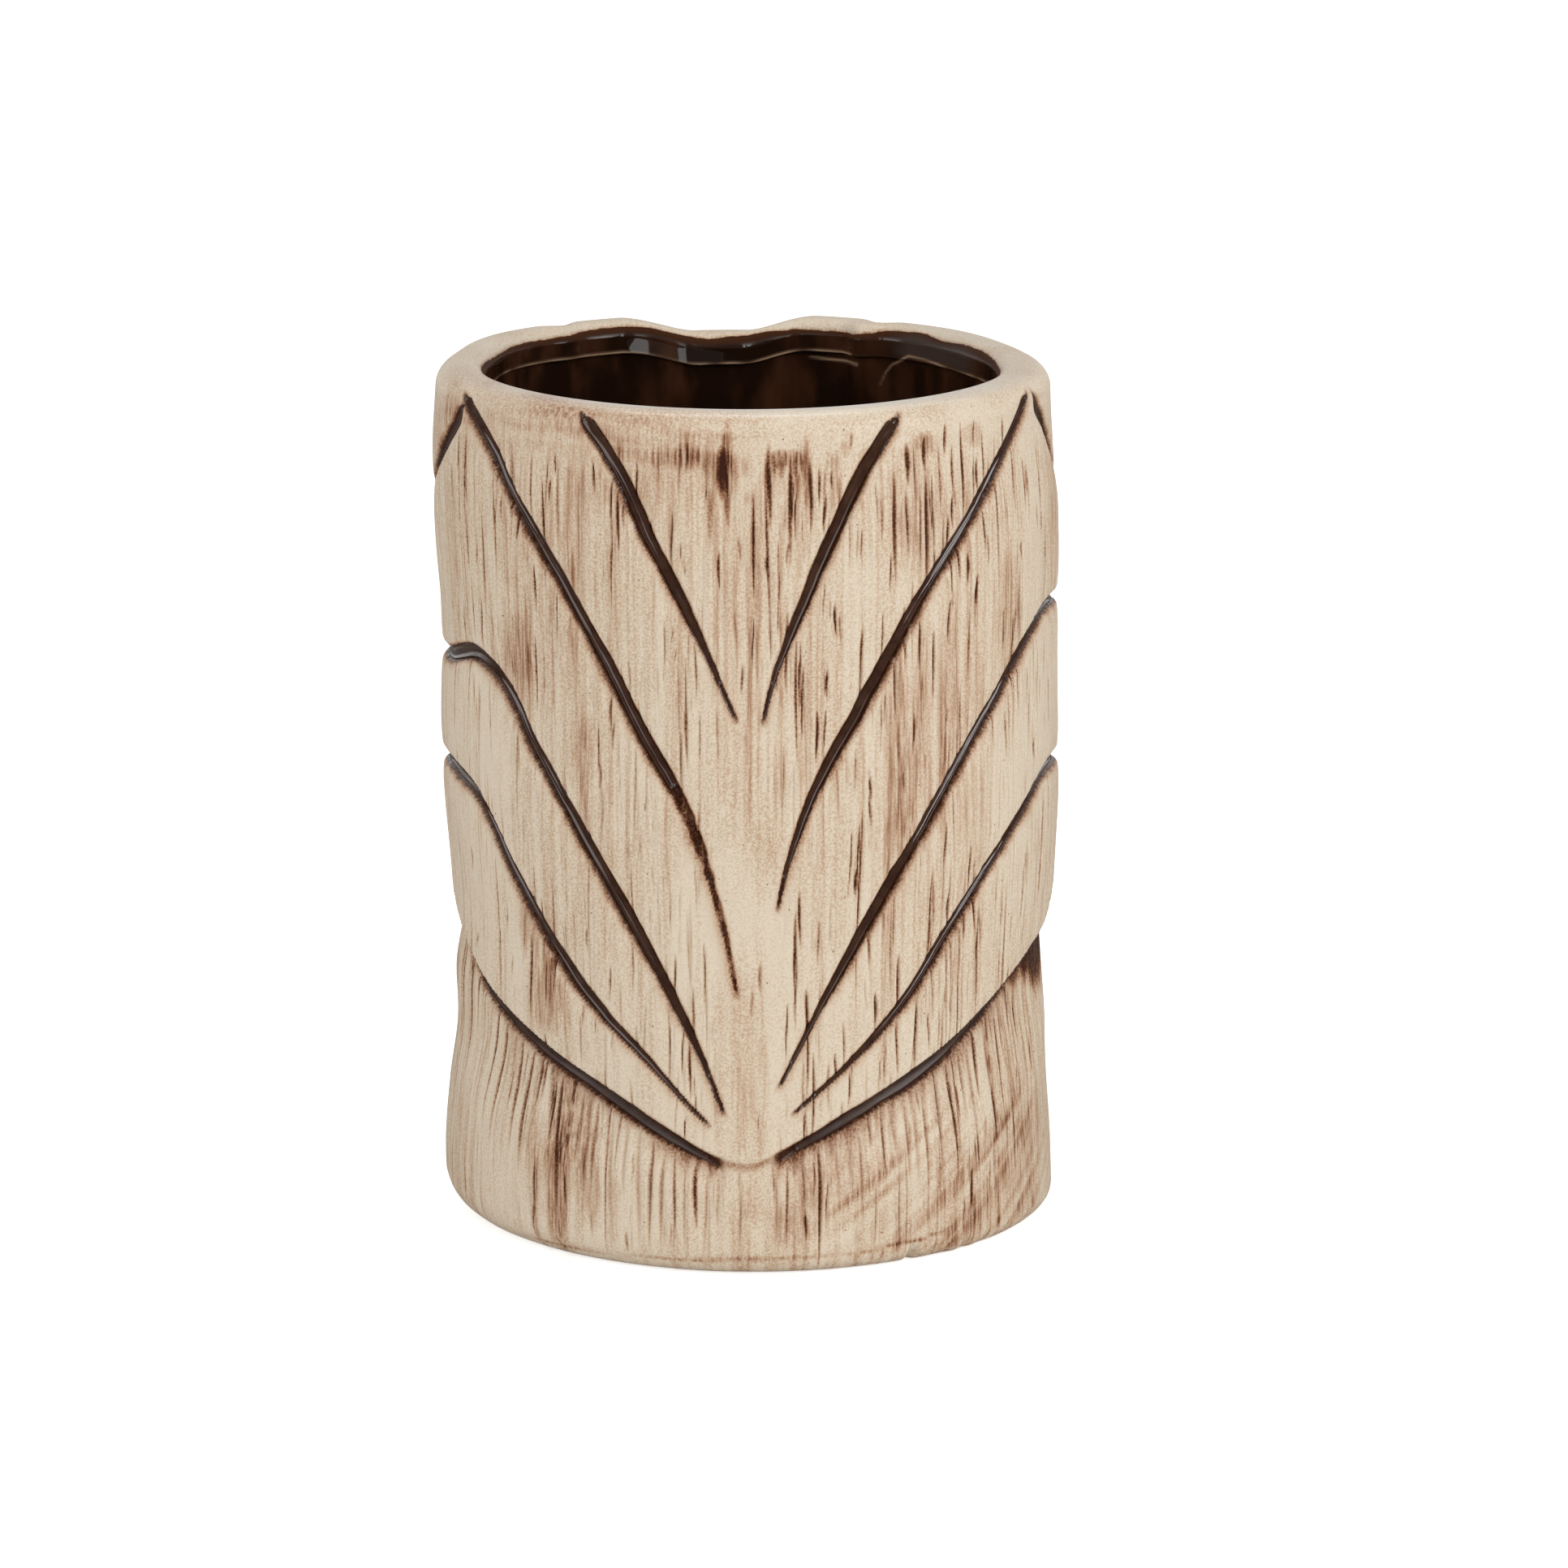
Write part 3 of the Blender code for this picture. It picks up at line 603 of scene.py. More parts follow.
    def hollow(self):
        """How far a place lies behind the mean of its surroundings. It means nothing at the rim and foot."""
        mean = self.radius
        for axis, reach in enumerate(HOLLOW_REACH):
            mean = sum(np.roll(mean, -shift, axis) for shift in range(1 - reach, reach + 1)) / (2 * reach)
        return mean - self.radius


def grain_room(turn, height):
    """How freely the grain's strokes lie: not on the rim band, and few on the spine and the face."""
    spine = ramp(9, 4, abs(signed(turn))) * ramp(100, 85, height) * ramp(14, 18, height)
    face = ramp(36, 26, abs(arc_from(FACE_TURN, turn))) * ramp(94, 84, height)
    return ramp(121, 114, height) * (1 - 0.85 * spine) * (1 - 0.6 * face) * ramp(2, 5, height)


def add_grain(wall):
    """Strokes of all sizes over the wall, mostly faint and thin, in clusters."""
    rng = np.random.default_rng(SEED)
    for _ in range(GRAIN_STROKES):
        turn, height = rng.uniform(0, 360), rng.uniform(2, 120)
        length = float(np.clip(rng.lognormal(2.1, 0.55), 2.5, 32))
        half_width = rng.uniform(0.09, 0.20)
        cluster = float(noise(turn, height, 60, 14, 25))
        strength = (0.16 + 0.85 * rng.random() ** 2.2) * (0.9 + 0.6 * cluster)
        strength = min(strength * float(1 + 0.22 * ramp(60, 100, height)), 0.98)
        lean = rng.normal(0, 0.018)
        if rng.random() < grain_room(turn, height):
            top = min(height + length / 2, 119 + rng.normal(0, 1.2))
            half_width *= 0.8 + 0.6 * strength
            wall.scratch(turn, top, length, half_width, strength, lean, 0.10 + 0.22 * strength)


def add_edge_drips(wall):
    """Strokes that run down the trunk from under the head's edge, with a gap at the spine."""
    rng = np.random.default_rng(SEED + 1)
    turn = -179.0
    while turn < 180:
        top = float(head_edge(turn)) - rng.uniform(1.6, 2.8)
        length = min(rng.uniform(6, 24), top - 2.5)
        strength = 0.36 + 0.58 * rng.random() ** 1.3
        if abs(turn) > 3.5 and length > 3:
            wall.scratch(turn, top, length, rng.uniform(0.22, 0.46), strength, rng.normal(0, 0.02), 0.28)
        turn += rng.uniform(1.6, 4.0)


def add_edge_stain(wall):
    """Dark glaze in the angle under the head's edge, and the wash that ran down from it. The patch at the
    right is partly painted shade in the recess, and the line under the tip is painted shade.
    """
    turn = wall.signed
    lower = extra_drop(turn)
    under = head_edge(wall.turn) - wall.height
    reach = 1.9 + 1.3 * wall.noise_round(120, 31) + 1.3 * wall.noise_round(460, 32)
    reach = np.maximum(reach + 0.9 * ramp(3, 14, turn) * ramp(70, 50, turn), 0.5)
    spine = ramp(3.5, 6, np.abs(turn))
    beside = spine * (1 - 0.35 * ramp(90, 130, np.abs(turn)))
    halo = np.exp(-((np.maximum(under - 1.9 - lower, 0) / reach) ** 1.2)) * ramp(0.0, 0.5, under) * beside
    line = ramp(0.0, 0.6, under) * ramp(2.3 + lower, 1.6 + lower, under) * beside
    ragged = 0.7 * wall.noise_round(300, 33) + 0.9 * wall.noise_round(120, 34)
    # Painted shade mixed with pooled glaze: the patch in the recess under the head's edge at the right
    # darkens towards the edge
    over_floor = wall.height - through(SHADED_WEDGE_FLOOR, turn) - ragged
    glaze_and_shade_wedge = ramp(46, 54, turn) * ramp(108, 100, turn) * ramp(0.0, 0.4, under)
    # Painted shade: a faint dark line just under the leaf's tip at the spine
    tip_shade = (1 - spine) * ramp(0, 0.6, under) * ramp(2.4, 0.9, under)
    pools = 0.6 * line, 0.66 * glaze_and_shade_wedge * ramp(-0.5, 4.5, over_floor)
    inks = 0.72 * halo, 0.95 * line, 0.80 * glaze_and_shade_wedge * ramp(-3.4, 2.2, over_floor), 0.44 * tip_shade
    wall.pool = np.maximum.reduce([wall.pool, *pools])
    wall.ink = np.maximum.reduce([wall.ink, *inks])


def lip_wash(turn, drop):
    """The wash left on the rim: a thin tan brushed along it, mostly over the left of the leaf side.

    Drop is 0 at the top of the lip, negative down the outside and positive down the inside.
    """
    turn = signed(turn)
    brushed = mound(turn, 0, -40, 0, 46, 1, 1.0, 0.6)
    slope = 40 + drop + 0.10 * turn
    bands = 0.5 + 0.5 * noise(turn, slope, 22, 1.5, 64) + 0.18 * noise(turn, slope, 70, 0.5, 65)
    return brushed * (0.10 + 0.30 * np.clip(bands, 0, 1)) + 0.085 * (1 + noise(turn, 40 + drop, 40, 1, 63))


def add_foot_line(wall):
    """A brown line round the foot, smeared upwards, and faint away from the leaf side."""
    turn = wall.signed
    above = wall.height - through(FOOT_LINE, turn) - 0.12 * wall.noise_round(90, 45)
    smear = 0.30 * np.exp(-((above / 0.9) ** 2)) * (above > 0)
    line = np.maximum(0.72 * np.exp(-((above / 0.34) ** 2)), smear)
    share = 0.25 + 0.75 * ramp(-50, -36, turn) * ramp(50, 36, turn)
    share = share * (0.8 + 0.4 * wall.noise_round(44, 47))
    wall.wash = np.maximum(wall.wash, line * share)
    wall.cut += 0.10 * share * np.exp(-((above / 0.35) ** 2))


def add_wash(wall):
    """The thin brown wash: streaky, heavier in the hollows and under the rim, brushed on the trunk."""
    turn, height = wall.turn, wall.height
    streaks = wall.noise(610, 24, 41) * 0.55 + wall.noise(240, 30, 42) * 0.45
    clouds = wall.noise(18, 26, 43)
    base = 0.11 + 0.13 * clouds + 0.23 * streaks * (0.6 + 0.5 * clouds)
    base = base + 0.07 * ramp(78, 100, height) + 0.06 * ramp(95, 112, height)
    rim_band = ramp(114, 120, height)
    wall.wash = np.clip(base, 0, 1) * (1 - rim_band)
    for patch in WASH_PATCHES:
        wall.wash_patch(*patch)
    slope = noise(turn - height * 2.0, height, 128, 200, 44)
    slope = slope + 0.6 * noise(turn - height * 1.7, height, 260, 200, 46)
    brushed = mound(turn, height, 46, 11, 44, 15, 1.0, 0.5)
    wall.wash *= 1 + 0.6 * streaks * (1 - 0.6 * brushed)
    wall.wash = np.maximum(wall.wash + brushed * (0.10 + 0.20 * slope), 0)
    wall.wash += rim_band * lip_wash(turn, height - HEIGHT)
    for blot in BLOTS:
        wall.blot(*blot)
    add_foot_line(wall)
    between = ramp(6, 9, height) * ramp(117, 112, height)
    wall.wash += 0.30 * between * np.clip(wall.hollow() / 0.8, 0, 1)


def finished_wall(lines):
    wall = Wall()
    add_wash(wall)
    add_edge_stain(wall)
    for line in lines:
        wall.carve(line)
    add_grain(wall)
    add_edge_drips(wall)
    for *size, strength in RIM_STREAKS:
        wall.scratch(*size, strength, 0.01, 0.25 * strength)
    ribs = wall.noise(620, 30, 51) + 0.6 * wall.noise(300, 18, 52)
    wall.cut += 0.028 * ribs * ramp(120, 115, wall.height) * (1 - wall.pool)
    return wall


# --- Meshes ---


def add_object(name, data):
    made = bpy.data.objects.new(name, data)
    bpy.context.scene.collection.objects.link(made)
    return made


def bridge_faces(lower, upper):
    """Faces between two rings of vertex numbers; one of them may have half as many as the other."""
    if len(lower) < len(upper):
        return [part[:, ::-1] for part in bridge_faces(upper, lower)]
    after = np.roll(np.arange(len(upper)), -1)
    if len(lower) == len(upper):
        return [np.stack([lower, lower[after], upper[after], upper], -1)]
    a, b = lower[0::2], lower[1::2]
    first = np.stack([a, b, upper], -1)
    middle = np.stack([b, upper[after], upper], -1)
    last = np.stack([b, a[after], upper[after]], -1)
    return [first, middle, last]


def ring_mesh(name, rings, marks):
    """A closed mesh skinned over rings of vertices, with a fan at each end. Marks start at the first ring."""
    starts = np.cumsum([0] + [len(ring) for ring in rings])
    numbers = [np.arange(start, end) for start, end in zip(starts, starts[1:])]
    faces = []
    for lower, upper in zip(numbers, numbers[1:]):
        faces += bridge_faces(lower, upper)
    for extra, (ends, order) in enumerate(((0, -1), (-1, 1))):
        ids = numbers[ends][::order]
        faces.append(np.stack([ids, np.roll(ids, -1), np.full(len(ids), starts[-1] + extra)], -1))
    middles = [rings[ends].mean(axis=0, keepdims=True) for ends in (0, -1)]
    return mesh_object(name, np.concatenate(list(rings) + middles), faces, marks)


def mesh_object(name, vertices, faces, marks):
    mesh = bpy.data.meshes.new(name)
    mesh.from_pydata(vertices, [], [face for part in faces for face in part.tolist()])
    for label, parts in marks.items():
        values = np.concatenate(parts)
        padded = np.zeros(len(vertices), np.float32)
        padded[: len(values)] = values
        mesh.attributes.new(label, "FLOAT", "POINT").data.foreach_set("value", padded)
    mesh.validate()
    mesh.shade_smooth()
    return add_object(name, mesh)


def lip_place(turn, angle):
    """A place on the lip's inner rounding: angle 0 is its top and 90 degrees its inner face."""
    radius = cavity_radius(turn, HEIGHT) + INNER_LIP * (1 - np.sin(angle))
    return radius, HEIGHT - INNER_LIP * (1 - np.cos(angle)) + rim_rise(turn)


def glaze_edge(turn):
    """The angle on the lip's inner rounding at which the inside glaze begins."""
    edge = np.radians(through(GLAZE_EDGE, turn % 360))
    return edge + 0.04 * noise(turn, 0, 60, 1, 61) + 0.03 * noise(turn, 0, 260, 1, 62)


def cavity_heights(step, fine_step):
    """Heights down the cavity to its floor, closer together round the ledge and the folds."""
    fillet = FLOOR_THICKNESS + CAVITY_FILLET * (1 - np.cos(np.linspace(math.pi / 2, 0, 10)))
    ledge = np.linspace(LEDGE_HEIGHT + 0.3, LEDGE_HEIGHT - LEDGE_DROP - 0.6, 12)
    above = np.linspace(HEIGHT - INNER_LIP - 0.3, LEDGE_HEIGHT + 0.6, 8)
    under = np.arange(LEDGE_HEIGHT - LEDGE_DROP - 0.9, LEDGE_HEIGHT - FOLD_REACH, -fine_step)
    wall = np.arange(LEDGE_HEIGHT - FOLD_REACH, FLOOR_THICKNESS + CAVITY_FILLET + step / 2, -step)
    return np.concatenate([above, ledge, under, wall, fillet[:-1]])


def body_object(wall):
    """The clay as one skin: the underside, the fine outer wall, the lip, and a plainer cavity."""
    radius = wall.radius - wall.cut
    under_radius = radius[0].min() - 0.5
    rings = []
    for share, inset in ((4, 12), (2, 3), (1, 0)):
        rings.append(points_at(wall.turns[::share], under_radius - inset, 0.0))
    underside = np.zeros(sum(len(ring) for ring in rings))
    rings += list(points_at(wall.turn, radius, lifted(wall.turn, wall.height)))
    near_side = np.clip(np.cos(np.radians(wall.turns)), 0, 1)
    from_top = np.arcsin(np.clip((HEIGHT - wall.height) / OUTER_LIP, 0, 1))
    gloss = ramp(0.30, 0.12, from_top) * (wall.height > HEIGHT - OUTER_LIP) * near_side
    values = {"wash": wall.wash, "ink": wall.ink, "pool": wall.pool, "gloss": gloss}
    marks = {label: [underside, value.ravel()] for label, value in values.items()}
    edge = glaze_edge(wall.turns)
    for angle in np.linspace(0, math.pi / 2, 2 * ROUNDING_STEPS):
        rings.append(points_at(wall.turns, *lip_place(wall.turns, angle)))
        beside_glaze = 0.42 * ramp(edge - 0.30, edge + 0.02, angle)
        marks["wash"].append(lip_wash(wall.turns, angle * INNER_LIP) + beside_glaze)
        marks["ink"].append(0.85 * ramp(edge - 0.14, edge + 0.06, angle))
        marks["pool"].append(0.5 * ramp(edge - 0.03, edge + 0.10, angle))
        marks["gloss"].append(ramp(0.9, 0.5, angle) * near_side)
    cavity = [(2, HEIGHT - INNER_LIP - 0.2), (4, HEIGHT - INNER_LIP - 0.4)]
    cavity += [(4, height) for height in cavity_heights(3.0, 3.0)[1:]]
    for share, height in cavity:
        turns = wall.turns[::share]
        rings.append(points_at(turns, cavity_radius(turns, height), lifted(turns, height)))
    rings.append(points_at(turns, CAVITY_FLOOR, FLOOR_THICKNESS))
    return ring_mesh("clay_body", rings, marks)


def near_path(turn, height, places, half_width):
    """1 on a thin line through (turn, height) places, falling to 0 beside it."""
    nearest = np.full(np.shape(turn), np.inf)
    for (turn_1, height_1), (turn_2, height_2) in zip(places, places[1:]):
        across, rise = np.radians(turn_2 - turn_1) * RADIUS, height_2 - height_1
        x, y = np.radians(turn - turn_1) * RADIUS, height - height_1
        share = np.clip((x * across + y * rise) / (across**2 + rise**2), 0, 1)
        nearest = np.minimum(nearest, np.hypot(x - share * across, y - share * rise))
    return np.exp(-((nearest / half_width) ** 2))


def pale_glaze_and_highlight(turn, height):
    """Where the dark glaze is painted pale, partly as glaze thinning over an edge and partly as painted
    highlights: along the ledge, and down the fold beside the crease.
    """
    ledge = np.exp(-(((height - LEDGE_HEIGHT - 0.12) / 0.15) ** 2))
    pale_strength = 0.6 + 0.5 * noise(turn, 0, 90, 1, 71)
    start, end = FOLD_GAP
    gap = ramp(start - 1, start, turn) * ramp(end + 1, end, turn)
    pale = ledge * pale_strength * (1 - 0.95 * gap)
    for places in FOLD_PALE_AND_HIGHLIGHT_LINES:
        pale = np.maximum(pale, pale_strength * near_path(turn, height, places, 0.17))
    return np.clip(pale, 0, 1)


def lining_object():
    """The glaze inside: its face stands off the clay, and its back lies bedded in it."""
    turns = np.arange(COLUMNS // 2) * 720 / COLUMNS
    edge = glaze_edge(turns)
    # Painted sheen: the stretch of inside glaze that is greyed to stand in for a reflection
    painted_sheen_share = ramp(109, 122, turns) * ramp(150, 142, turns)
    none = np.zeros(len(turns))
    face, back, ledge, thin, painted_sheen_band = [], [], [], [], []
    for share in np.linspace(0, 1, 9):
        angle = edge + share * (math.pi / 2 - edge)
        radius, height = lip_place(turns, angle)
        stand = FACE_GAP + GLAZE_THICKNESS * ramp(0, 0.6, share)
        face.append(points_at(turns, radius - stand * np.sin(angle), height + stand * np.cos(angle)))
        back.append(points_at(turns, radius + GLAZE_BEDDING, height - GLAZE_BEDDING))
        ledge.append(none)
        thin.append(none + ramp(1.0, 0.35, share))
        painted_sheen_band.append(painted_sheen_share * ramp(0, 0.6, share))
    for height in cavity_heights(1.0, 0.3):
        radius, lifted_height = cavity_radius(turns, height), lifted(turns, height)
        lift = GLAZE_THICKNESS * ramp(FLOOR_THICKNESS + CAVITY_FILLET, FLOOR_THICKNESS, height)
        bedding = GLAZE_BEDDING * (height < FLOOR_THICKNESS + CAVITY_FILLET + 0.5)
        face.append(points_at(turns, radius - GLAZE_THICKNESS, lifted_height + lift))
        back.append(points_at(turns, radius + GLAZE_BEDDING, lifted_height - bedding))
        # The ledge marks: pale lines that are partly glaze thinning over edges and partly painted highlights
        ledge.append(pale_glaze_and_highlight(turns, height))
        thin.append(none)
        painted_sheen_band.append(painted_sheen_share * ramp(LEDGE_HEIGHT, LEDGE_HEIGHT + 0.8, height))
    face.append(points_at(turns, CAVITY_FLOOR - GLAZE_THICKNESS, FLOOR_THICKNESS + GLAZE_THICKNESS))
    back.append(points_at(turns, CAVITY_FLOOR, FLOOR_THICKNESS - GLAZE_BEDDING))
    hidden = [none] * len(back)
    marks = {"ledge": hidden + ledge, "thin": hidden + thin, "painted_sheen_band": hidden + painted_sheen_band}
    return ring_mesh("glaze_lining", back[::-1] + face, marks)


def ribbon_object(line):
    """The glaze lying in a carved line, with a face that curves up to the line's walls."""
    loop = np.concatenate([np.linspace(-1, 1, 11), [0.55, -0.55]])
    rings = []
    for k in np.flatnonzero((line.size > POOL_LEAST_SIZE) & (line.glossy > POOL_LEAST_GLOSS))[::2]:
        size = line.size[k]
        half = POOL_SHARE * line.half_width(size)
        ahead, lift = line.direction[k] * line.lower_side
        turn = np.degrees((line.arc[k] - lift * loop * half) / RADIUS)
        height = line.height[k] + ahead * loop * half
        depth = line.depth * size * line.shallow[k]
        walls = depth * (1 - line.section(np.array([-half, half]), size))
        middle = POOL_RISE * walls.mean()
        rise = middle + (np.where(loop > 0, walls[1], walls[0]) - middle) * np.abs(loop) ** 2.2
        rise[-2:] = -POOL_BEDDING
        radius = outer_radius(turn, height) - depth + rise - FACE_GAP
        rings.append(points_at(turn, radius, lifted(turn, height)))
    made = ring_mesh("pool_" + line.node, rings, {})
    if line.lower_side > 0:
        made.data.flip_normals()
    return made


# --- Materials ---


class Shader:
    """A node tree built up by short calls that each return an output socket."""

    def __init__(self, owner, surface="Principled BSDF"):
        owner.use_nodes = True
        self.owner, self.tree = owner, owner.node_tree
        self.surface = self.tree.nodes[surface]

    def node(self, kind, **inputs):
        return self.set_inputs(self.tree.nodes.new("ShaderNode" + kind), inputs)

    def set_inputs(self, node, inputs):
        for label, value in inputs.items():
            self.connect(node.inputs[label.replace("_", " ")], value)
        return node

    def connect(self, socket, value):
        if isinstance(value, bpy.types.NodeSocket):
            self.tree.links.new(value, socket)
        elif socket.type == "RGBA":
            socket.default_value = (*value, 1)
        else:
            socket.default_value = value

    def attribute(self, name):
        made = self.node("Attribute")
        made.attribute_name = name
        return made.outputs["Fac"]

    def place(self, stretch=1.0):
        """Object coordinates in millimetres, squeezed along Z by stretch."""
        place = self.node("TexCoord").outputs["Object"]
        return self.node("Mapping", Vector=place, Scale=(1 / MM, 1 / MM, stretch / MM)).outputs["Vector"]

    def noise(self, cells_per_mm, stretch=1.0, detail=2.0):
        made = self.node("TexNoise", Vector=self.place(stretch), Scale=cells_per_mm, Detail=detail)
        return made.outputs["Fac"]

    def maths(self, operation, first, second, clamp=False):
        made = self.node("Math")
        made.operation, made.use_clamp = operation, clamp
        self.connect(made.inputs[0], first)
        self.connect(made.inputs[1], second)
        return made.outputs[0]

    times = partialmethod(maths, "MULTIPLY")
    plus = partialmethod(maths, "ADD")
    most = partialmethod(maths, "MAXIMUM")

    def spread(self, value, low, high, to_low=0.0, to_high=1.0):
        """Value mapped smoothly from low..high to to_low..to_high."""
        made = self.node("MapRange", Value=value, From_Min=low, From_Max=high, To_Min=to_low, To_Max=to_high)
        made.interpolation_type = "SMOOTHSTEP"
        return made.outputs["Result"]

    def blend(self, share, first, second):
        made = self.node("Mix")
        made.data_type = "RGBA"
        for index, value in ((0, share), (6, first), (7, second)):
            self.connect(made.inputs[index], value)
        return made.outputs[2]

    def shades(self, amount, stops):
        """The colour for an amount, from (amount, colour) stops."""
        made = self.node("ValToRGB", Fac=amount)
        elements = made.color_ramp.elements
        while len(elements) < len(stops):
            elements.new(0.5)
        for element, (position, colour) in zip(elements, stops):
            element.position = position
            element.color = (*colour, 1)
        return made.outputs["Color"]

    def bump(self, height, distance):
        return self.node("Bump", Height=height, Distance=distance, Strength=1.0).outputs["Normal"]

    def finish(self, **inputs):
        self.set_inputs(self.surface, inputs)
        return self.owner


def clay_material():
    """Cream glaze over clay with brown wash in its grain, and glossy glaze at the carved lines."""
    s = Shader(bpy.data.materials.new("stained_ceramic_look"))
    sand = s.noise(3.2, detail=3)
    grain = s.noise(2.4, stretch=0.06, detail=3)
    clouds = s.noise(0.09, stretch=0.6)
    wash = s.times(s.attribute("wash"), s.spread(grain, 0.3, 0.7, 0.6, 1.35))
    speckle = s.times(s.spread(sand, 0.35, 0.65, -0.12, 0.19), s.spread(wash, 0.12, 0.5, 1.0, 0.3))
    wash = s.plus(s.plus(wash, speckle), s.spread(clouds, 0.35, 0.65, -0.04, 0.04), clamp=True)
    ink = s.times(s.attribute("ink"), s.spread(sand, 0.25, 0.75, 0.86, 1.12), clamp=True)
    specks = s.node("TexVoronoi", Vector=s.place(), Scale=0.5).outputs
    few = s.maths("GREATER_THAN", specks["Color"], 0.62)
    speck = s.times(few, s.spread(specks["Distance"], 0.03, 0.09, 0.8, 0.0))
    stain = s.most(s.plus(ink, s.times(wash, 0.45)), wash)
    stain = s.most(stain, speck, clamp=True)
    pool = s.times(s.attribute("pool"), 1.0, clamp=True)
    bare = s.maths("SUBTRACT", 1.0, pool)
    colour = s.blend(pool, s.shades(stain, STAIN_COLOURS), LINE_GLAZE)
    rough = s.plus(s.times(s.spread(sand, 0.3, 0.7, 0.42, 0.52), bare), s.times(pool, 0.12))
    relief = s.times(s.plus(s.times(grain, 0.8), s.times(sand, 0.35)), bare)
    shine = s.most(s.spread(stain, 0.3, 0.85, 0.5, 0.12), s.times(pool, 0.5))
    coat = s.spread(s.attribute("gloss"), 0, 1, 0.05, 1.0)
    return s.finish(Base_Color=colour, Roughness=rough, Normal=s.bump(relief, 0.09 * MM),
                    Specular_IOR_Level=shine, Coat_Weight=coat, Coat_Roughness=0.08, Coat_IOR=1.8)


def lining_material():
    """Very dark glossy glaze, thin at the lip, with a painted grey sheen in one stretch, and pale lines that
    are partly glaze thinning over edges and partly painted highlights.
    """
    s = Shader(bpy.data.materials.new("interior_glaze_look"))
    clouds = s.noise(0.12, stretch=0.5, detail=3)
    streaks = s.noise(0.25, stretch=0.2, detail=3)
    patches = s.times(s.spread(clouds, 0.42, 0.66), s.spread(streaks, 0.3, 0.7, 0.5, 1.0))
    thin = s.attribute("thin")
    colour = s.blend(patches, INSIDE_GLAZE, INSIDE_GLAZE_THIN)
    colour = s.blend(thin, colour, LIP_GLAZE)
    # Painted sheen: greys the stretch past the crease in place of a reflection
    colour = s.blend(s.attribute("painted_sheen_band"), colour, PAINTED_SHEEN_GLAZE)
    # Pale lines on the ledge and fold: partly glaze thinning over edges, partly painted highlights
    colour = s.blend(s.attribute("ledge"), colour, PALE_GLAZE_AND_HIGHLIGHT)
    rough = s.most(s.spread(clouds, 0.3, 0.7, 0.05, 0.10), s.times(thin, 0.55))
    return s.finish(Base_Color=colour, Roughness=rough, Normal=s.bump(s.noise(0.22, detail=1), 0.03 * MM),
                    Specular_IOR_Level=s.spread(thin, 0, 1, 0.5, 0.03))


def pool_material(name, roughness, coat):
    """Dark glaze lying thick in a carved line, a little uneven in colour and face."""
    s = Shader(bpy.data.materials.new(name))
    clouds = s.noise(0.5)
    colour = s.blend(s.spread(clouds, 0.3, 0.7), LINE_GLAZE, LINE_GLAZE_THIN)
    rough = s.spread(clouds, 0.3, 0.7, roughness, roughness + 0.06)
    return s.finish(Base_Color=colour, Roughness=rough, Normal=s.bump(s.noise(0.12, detail=0), 0.15 * MM),
                    Coat_Weight=coat, Coat_Roughness=0.05)


def floor_material():
    """A pale glowing floor that reflections see darker near the mug than behind it."""
    s = Shader(bpy.data.materials.new("floor_white"))
    tint = s.blend(s.spread(s.noise(0.01), 0.3, 0.7), (0.93, 0.93, 0.93), (0.95, 0.95, 0.95))
    rays = s.node("LightPath").outputs
    glow = s.spread(rays["Is Camera Ray"], 0, 1, 0.05, 0.6)
    s.finish(Base_Color=tint, Roughness=0.6, Emission_Color=STUDIO_WHITE, Emission_Strength=glow)
    place = s.node("SeparateXYZ", Vector=s.node("NewGeometry").outputs["Position"])
    strength = s.spread(place.outputs["Y"], 0.5, 1.5, REFLECTED_STUDIO, REFLECTED_SWEEP)
    dim = s.node("Emission", Color=STUDIO_WHITE, Strength=strength)
    mix = s.node("MixShader")
    for index, socket in enumerate((rays["Is Glossy Ray"], s.surface.outputs[0], dim.outputs[0])):
        s.connect(mix.inputs[index], socket)
    s.connect(s.tree.nodes["Material Output"].inputs["Surface"], mix.outputs[0])
    return s.owner


# --- Studio ---


def place_piece(piece, material, node):
    piece.data.materials.append(material)
    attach(piece, "root")
    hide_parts(node)


def add_floor():
    """A pale floor that curves up behind the mug into a backdrop. Its sizes are in metres."""
    depth, width, rise, bend = 2.2, 5.0, 2.4, 0.8
    profile = [(-depth, 0.0)]
    for angle in np.linspace(0, math.pi / 2, 12):
        profile.append((depth - bend + bend * math.sin(angle), bend - bend * math.cos(angle)))
    profile.append((depth, rise))
    vertices = [(x, y, z) for y, z in profile for x in (-width / 2, width / 2)]
    faces = [(2 * i, 2 * i + 1, 2 * i + 3, 2 * i + 2) for i in range(len(profile) - 1)]
    floor = mesh_object("floor", np.array(vertices), [np.array(faces)], {})
    floor.data.materials.append(floor_material())


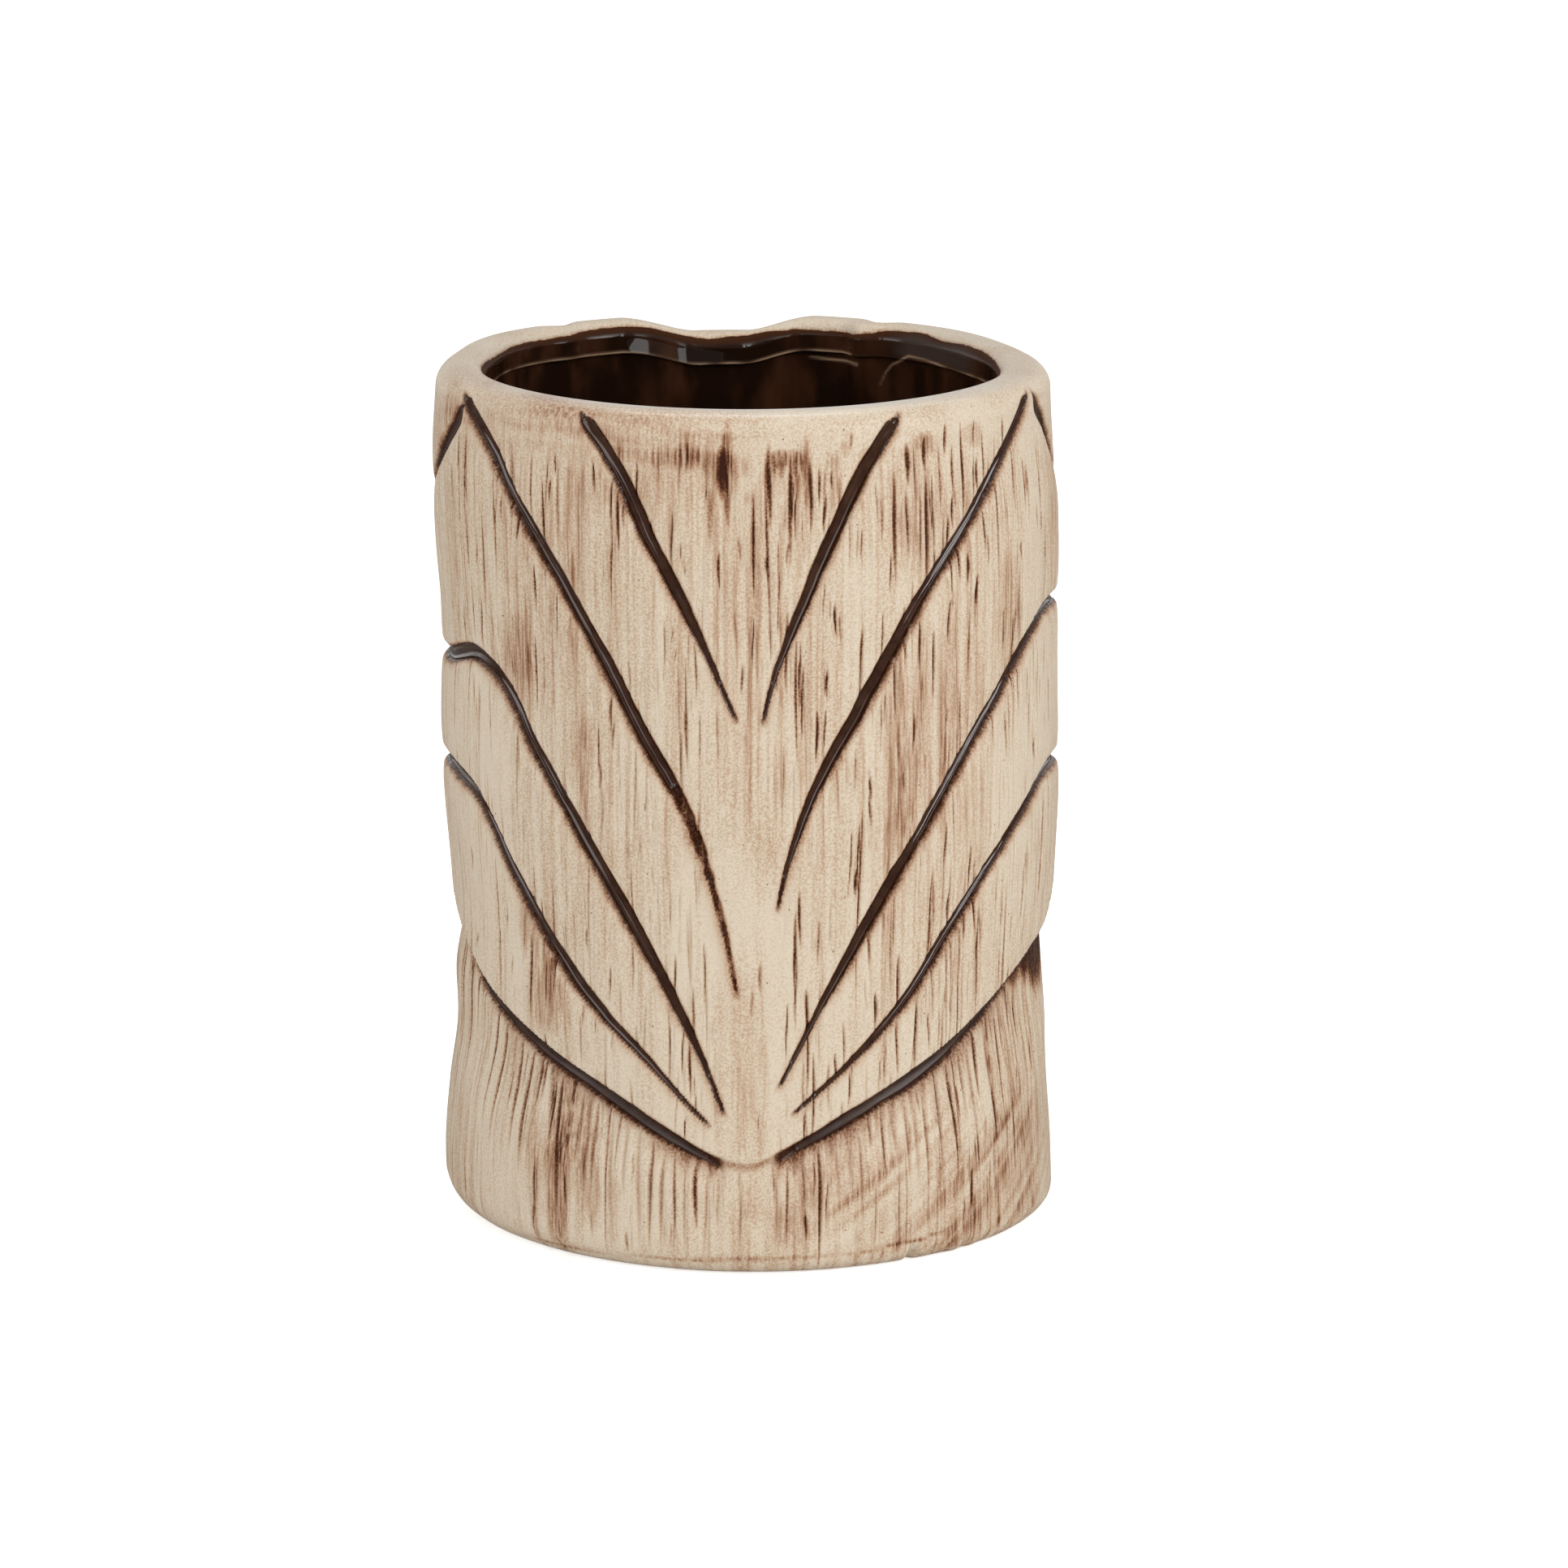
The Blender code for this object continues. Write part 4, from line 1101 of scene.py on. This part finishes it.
def add_light(name, place, width, height, power):
    """A rectangular light that faces the mug's middle."""
    data = bpy.data.lights.new(name, "AREA")
    data.shape = "RECTANGLE"
    data.size, data.size_y = width, height
    data.energy = power
    light = add_object(name, data)
    light.location = place
    x, y, z = np.array((0, 0, HEIGHT / 2 * MM)) - np.array(place)
    light.rotation_euler = (math.atan2(math.hypot(x, y), -z), 0, math.atan2(y, x) - math.pi / 2)


def add_world():
    """Plain white to the camera, dimmer as light, and brighter overhead and behind in reflections."""
    world = bpy.data.worlds.new("studio")
    bpy.context.scene.world = world
    s = Shader(world, "Background")
    rays = s.node("LightPath").outputs
    ways = s.node("SeparateXYZ", Vector=s.node("TexCoord").outputs["Generated"]).outputs
    overhead = s.spread(ways["Z"], 0.55, 0.9, REFLECTED_STUDIO, REFLECTED_CEILING)
    behind = s.spread(ways["Y"], 0.1, 0.6, 0.0, REFLECTED_BACKDROP)
    lit = s.spread(rays["Is Camera Ray"], 0, 1, AMBIENT, 1.0)
    strength = s.spread(rays["Is Glossy Ray"], 0, 1, lit, s.most(overhead, behind))
    s.finish(Color=STUDIO_WHITE, Strength=strength)


def add_camera():
    """The photograph's view: about a metre away, looking a little down on the leaf side."""
    data = bpy.data.cameras.new("camera")
    data.lens = CAMERA_LENS
    data.sensor_width = SENSOR_WIDTH
    camera = add_object("camera", data)
    camera.location = CAMERA_PLACE
    camera.rotation_euler = (math.radians(90 - CAMERA_DOWN), 0, math.radians(CAMERA_ASIDE))
    bpy.context.scene.camera = camera


def main():
    lines = carved_lines()
    place_piece(body_object(finished_wall(lines)), clay_material(), "ceramic_body")
    place_piece(lining_object(), lining_material(), "interior_glaze")
    glossy = pool_material("brown_glaze_look", 0.10, 0.4)
    duller = pool_material("edge_glaze_look", 0.34, 0.0)
    for line in lines:
        glaze = duller if line.node.startswith("head_edge") else glossy
        place_piece(ribbon_object(line), glaze, line.node)
    add_floor()
    add_world()
    for light in LIGHTS:
        add_light(*light)
    bpy.context.scene.view_settings.view_transform = "Standard"
    add_camera()


main()
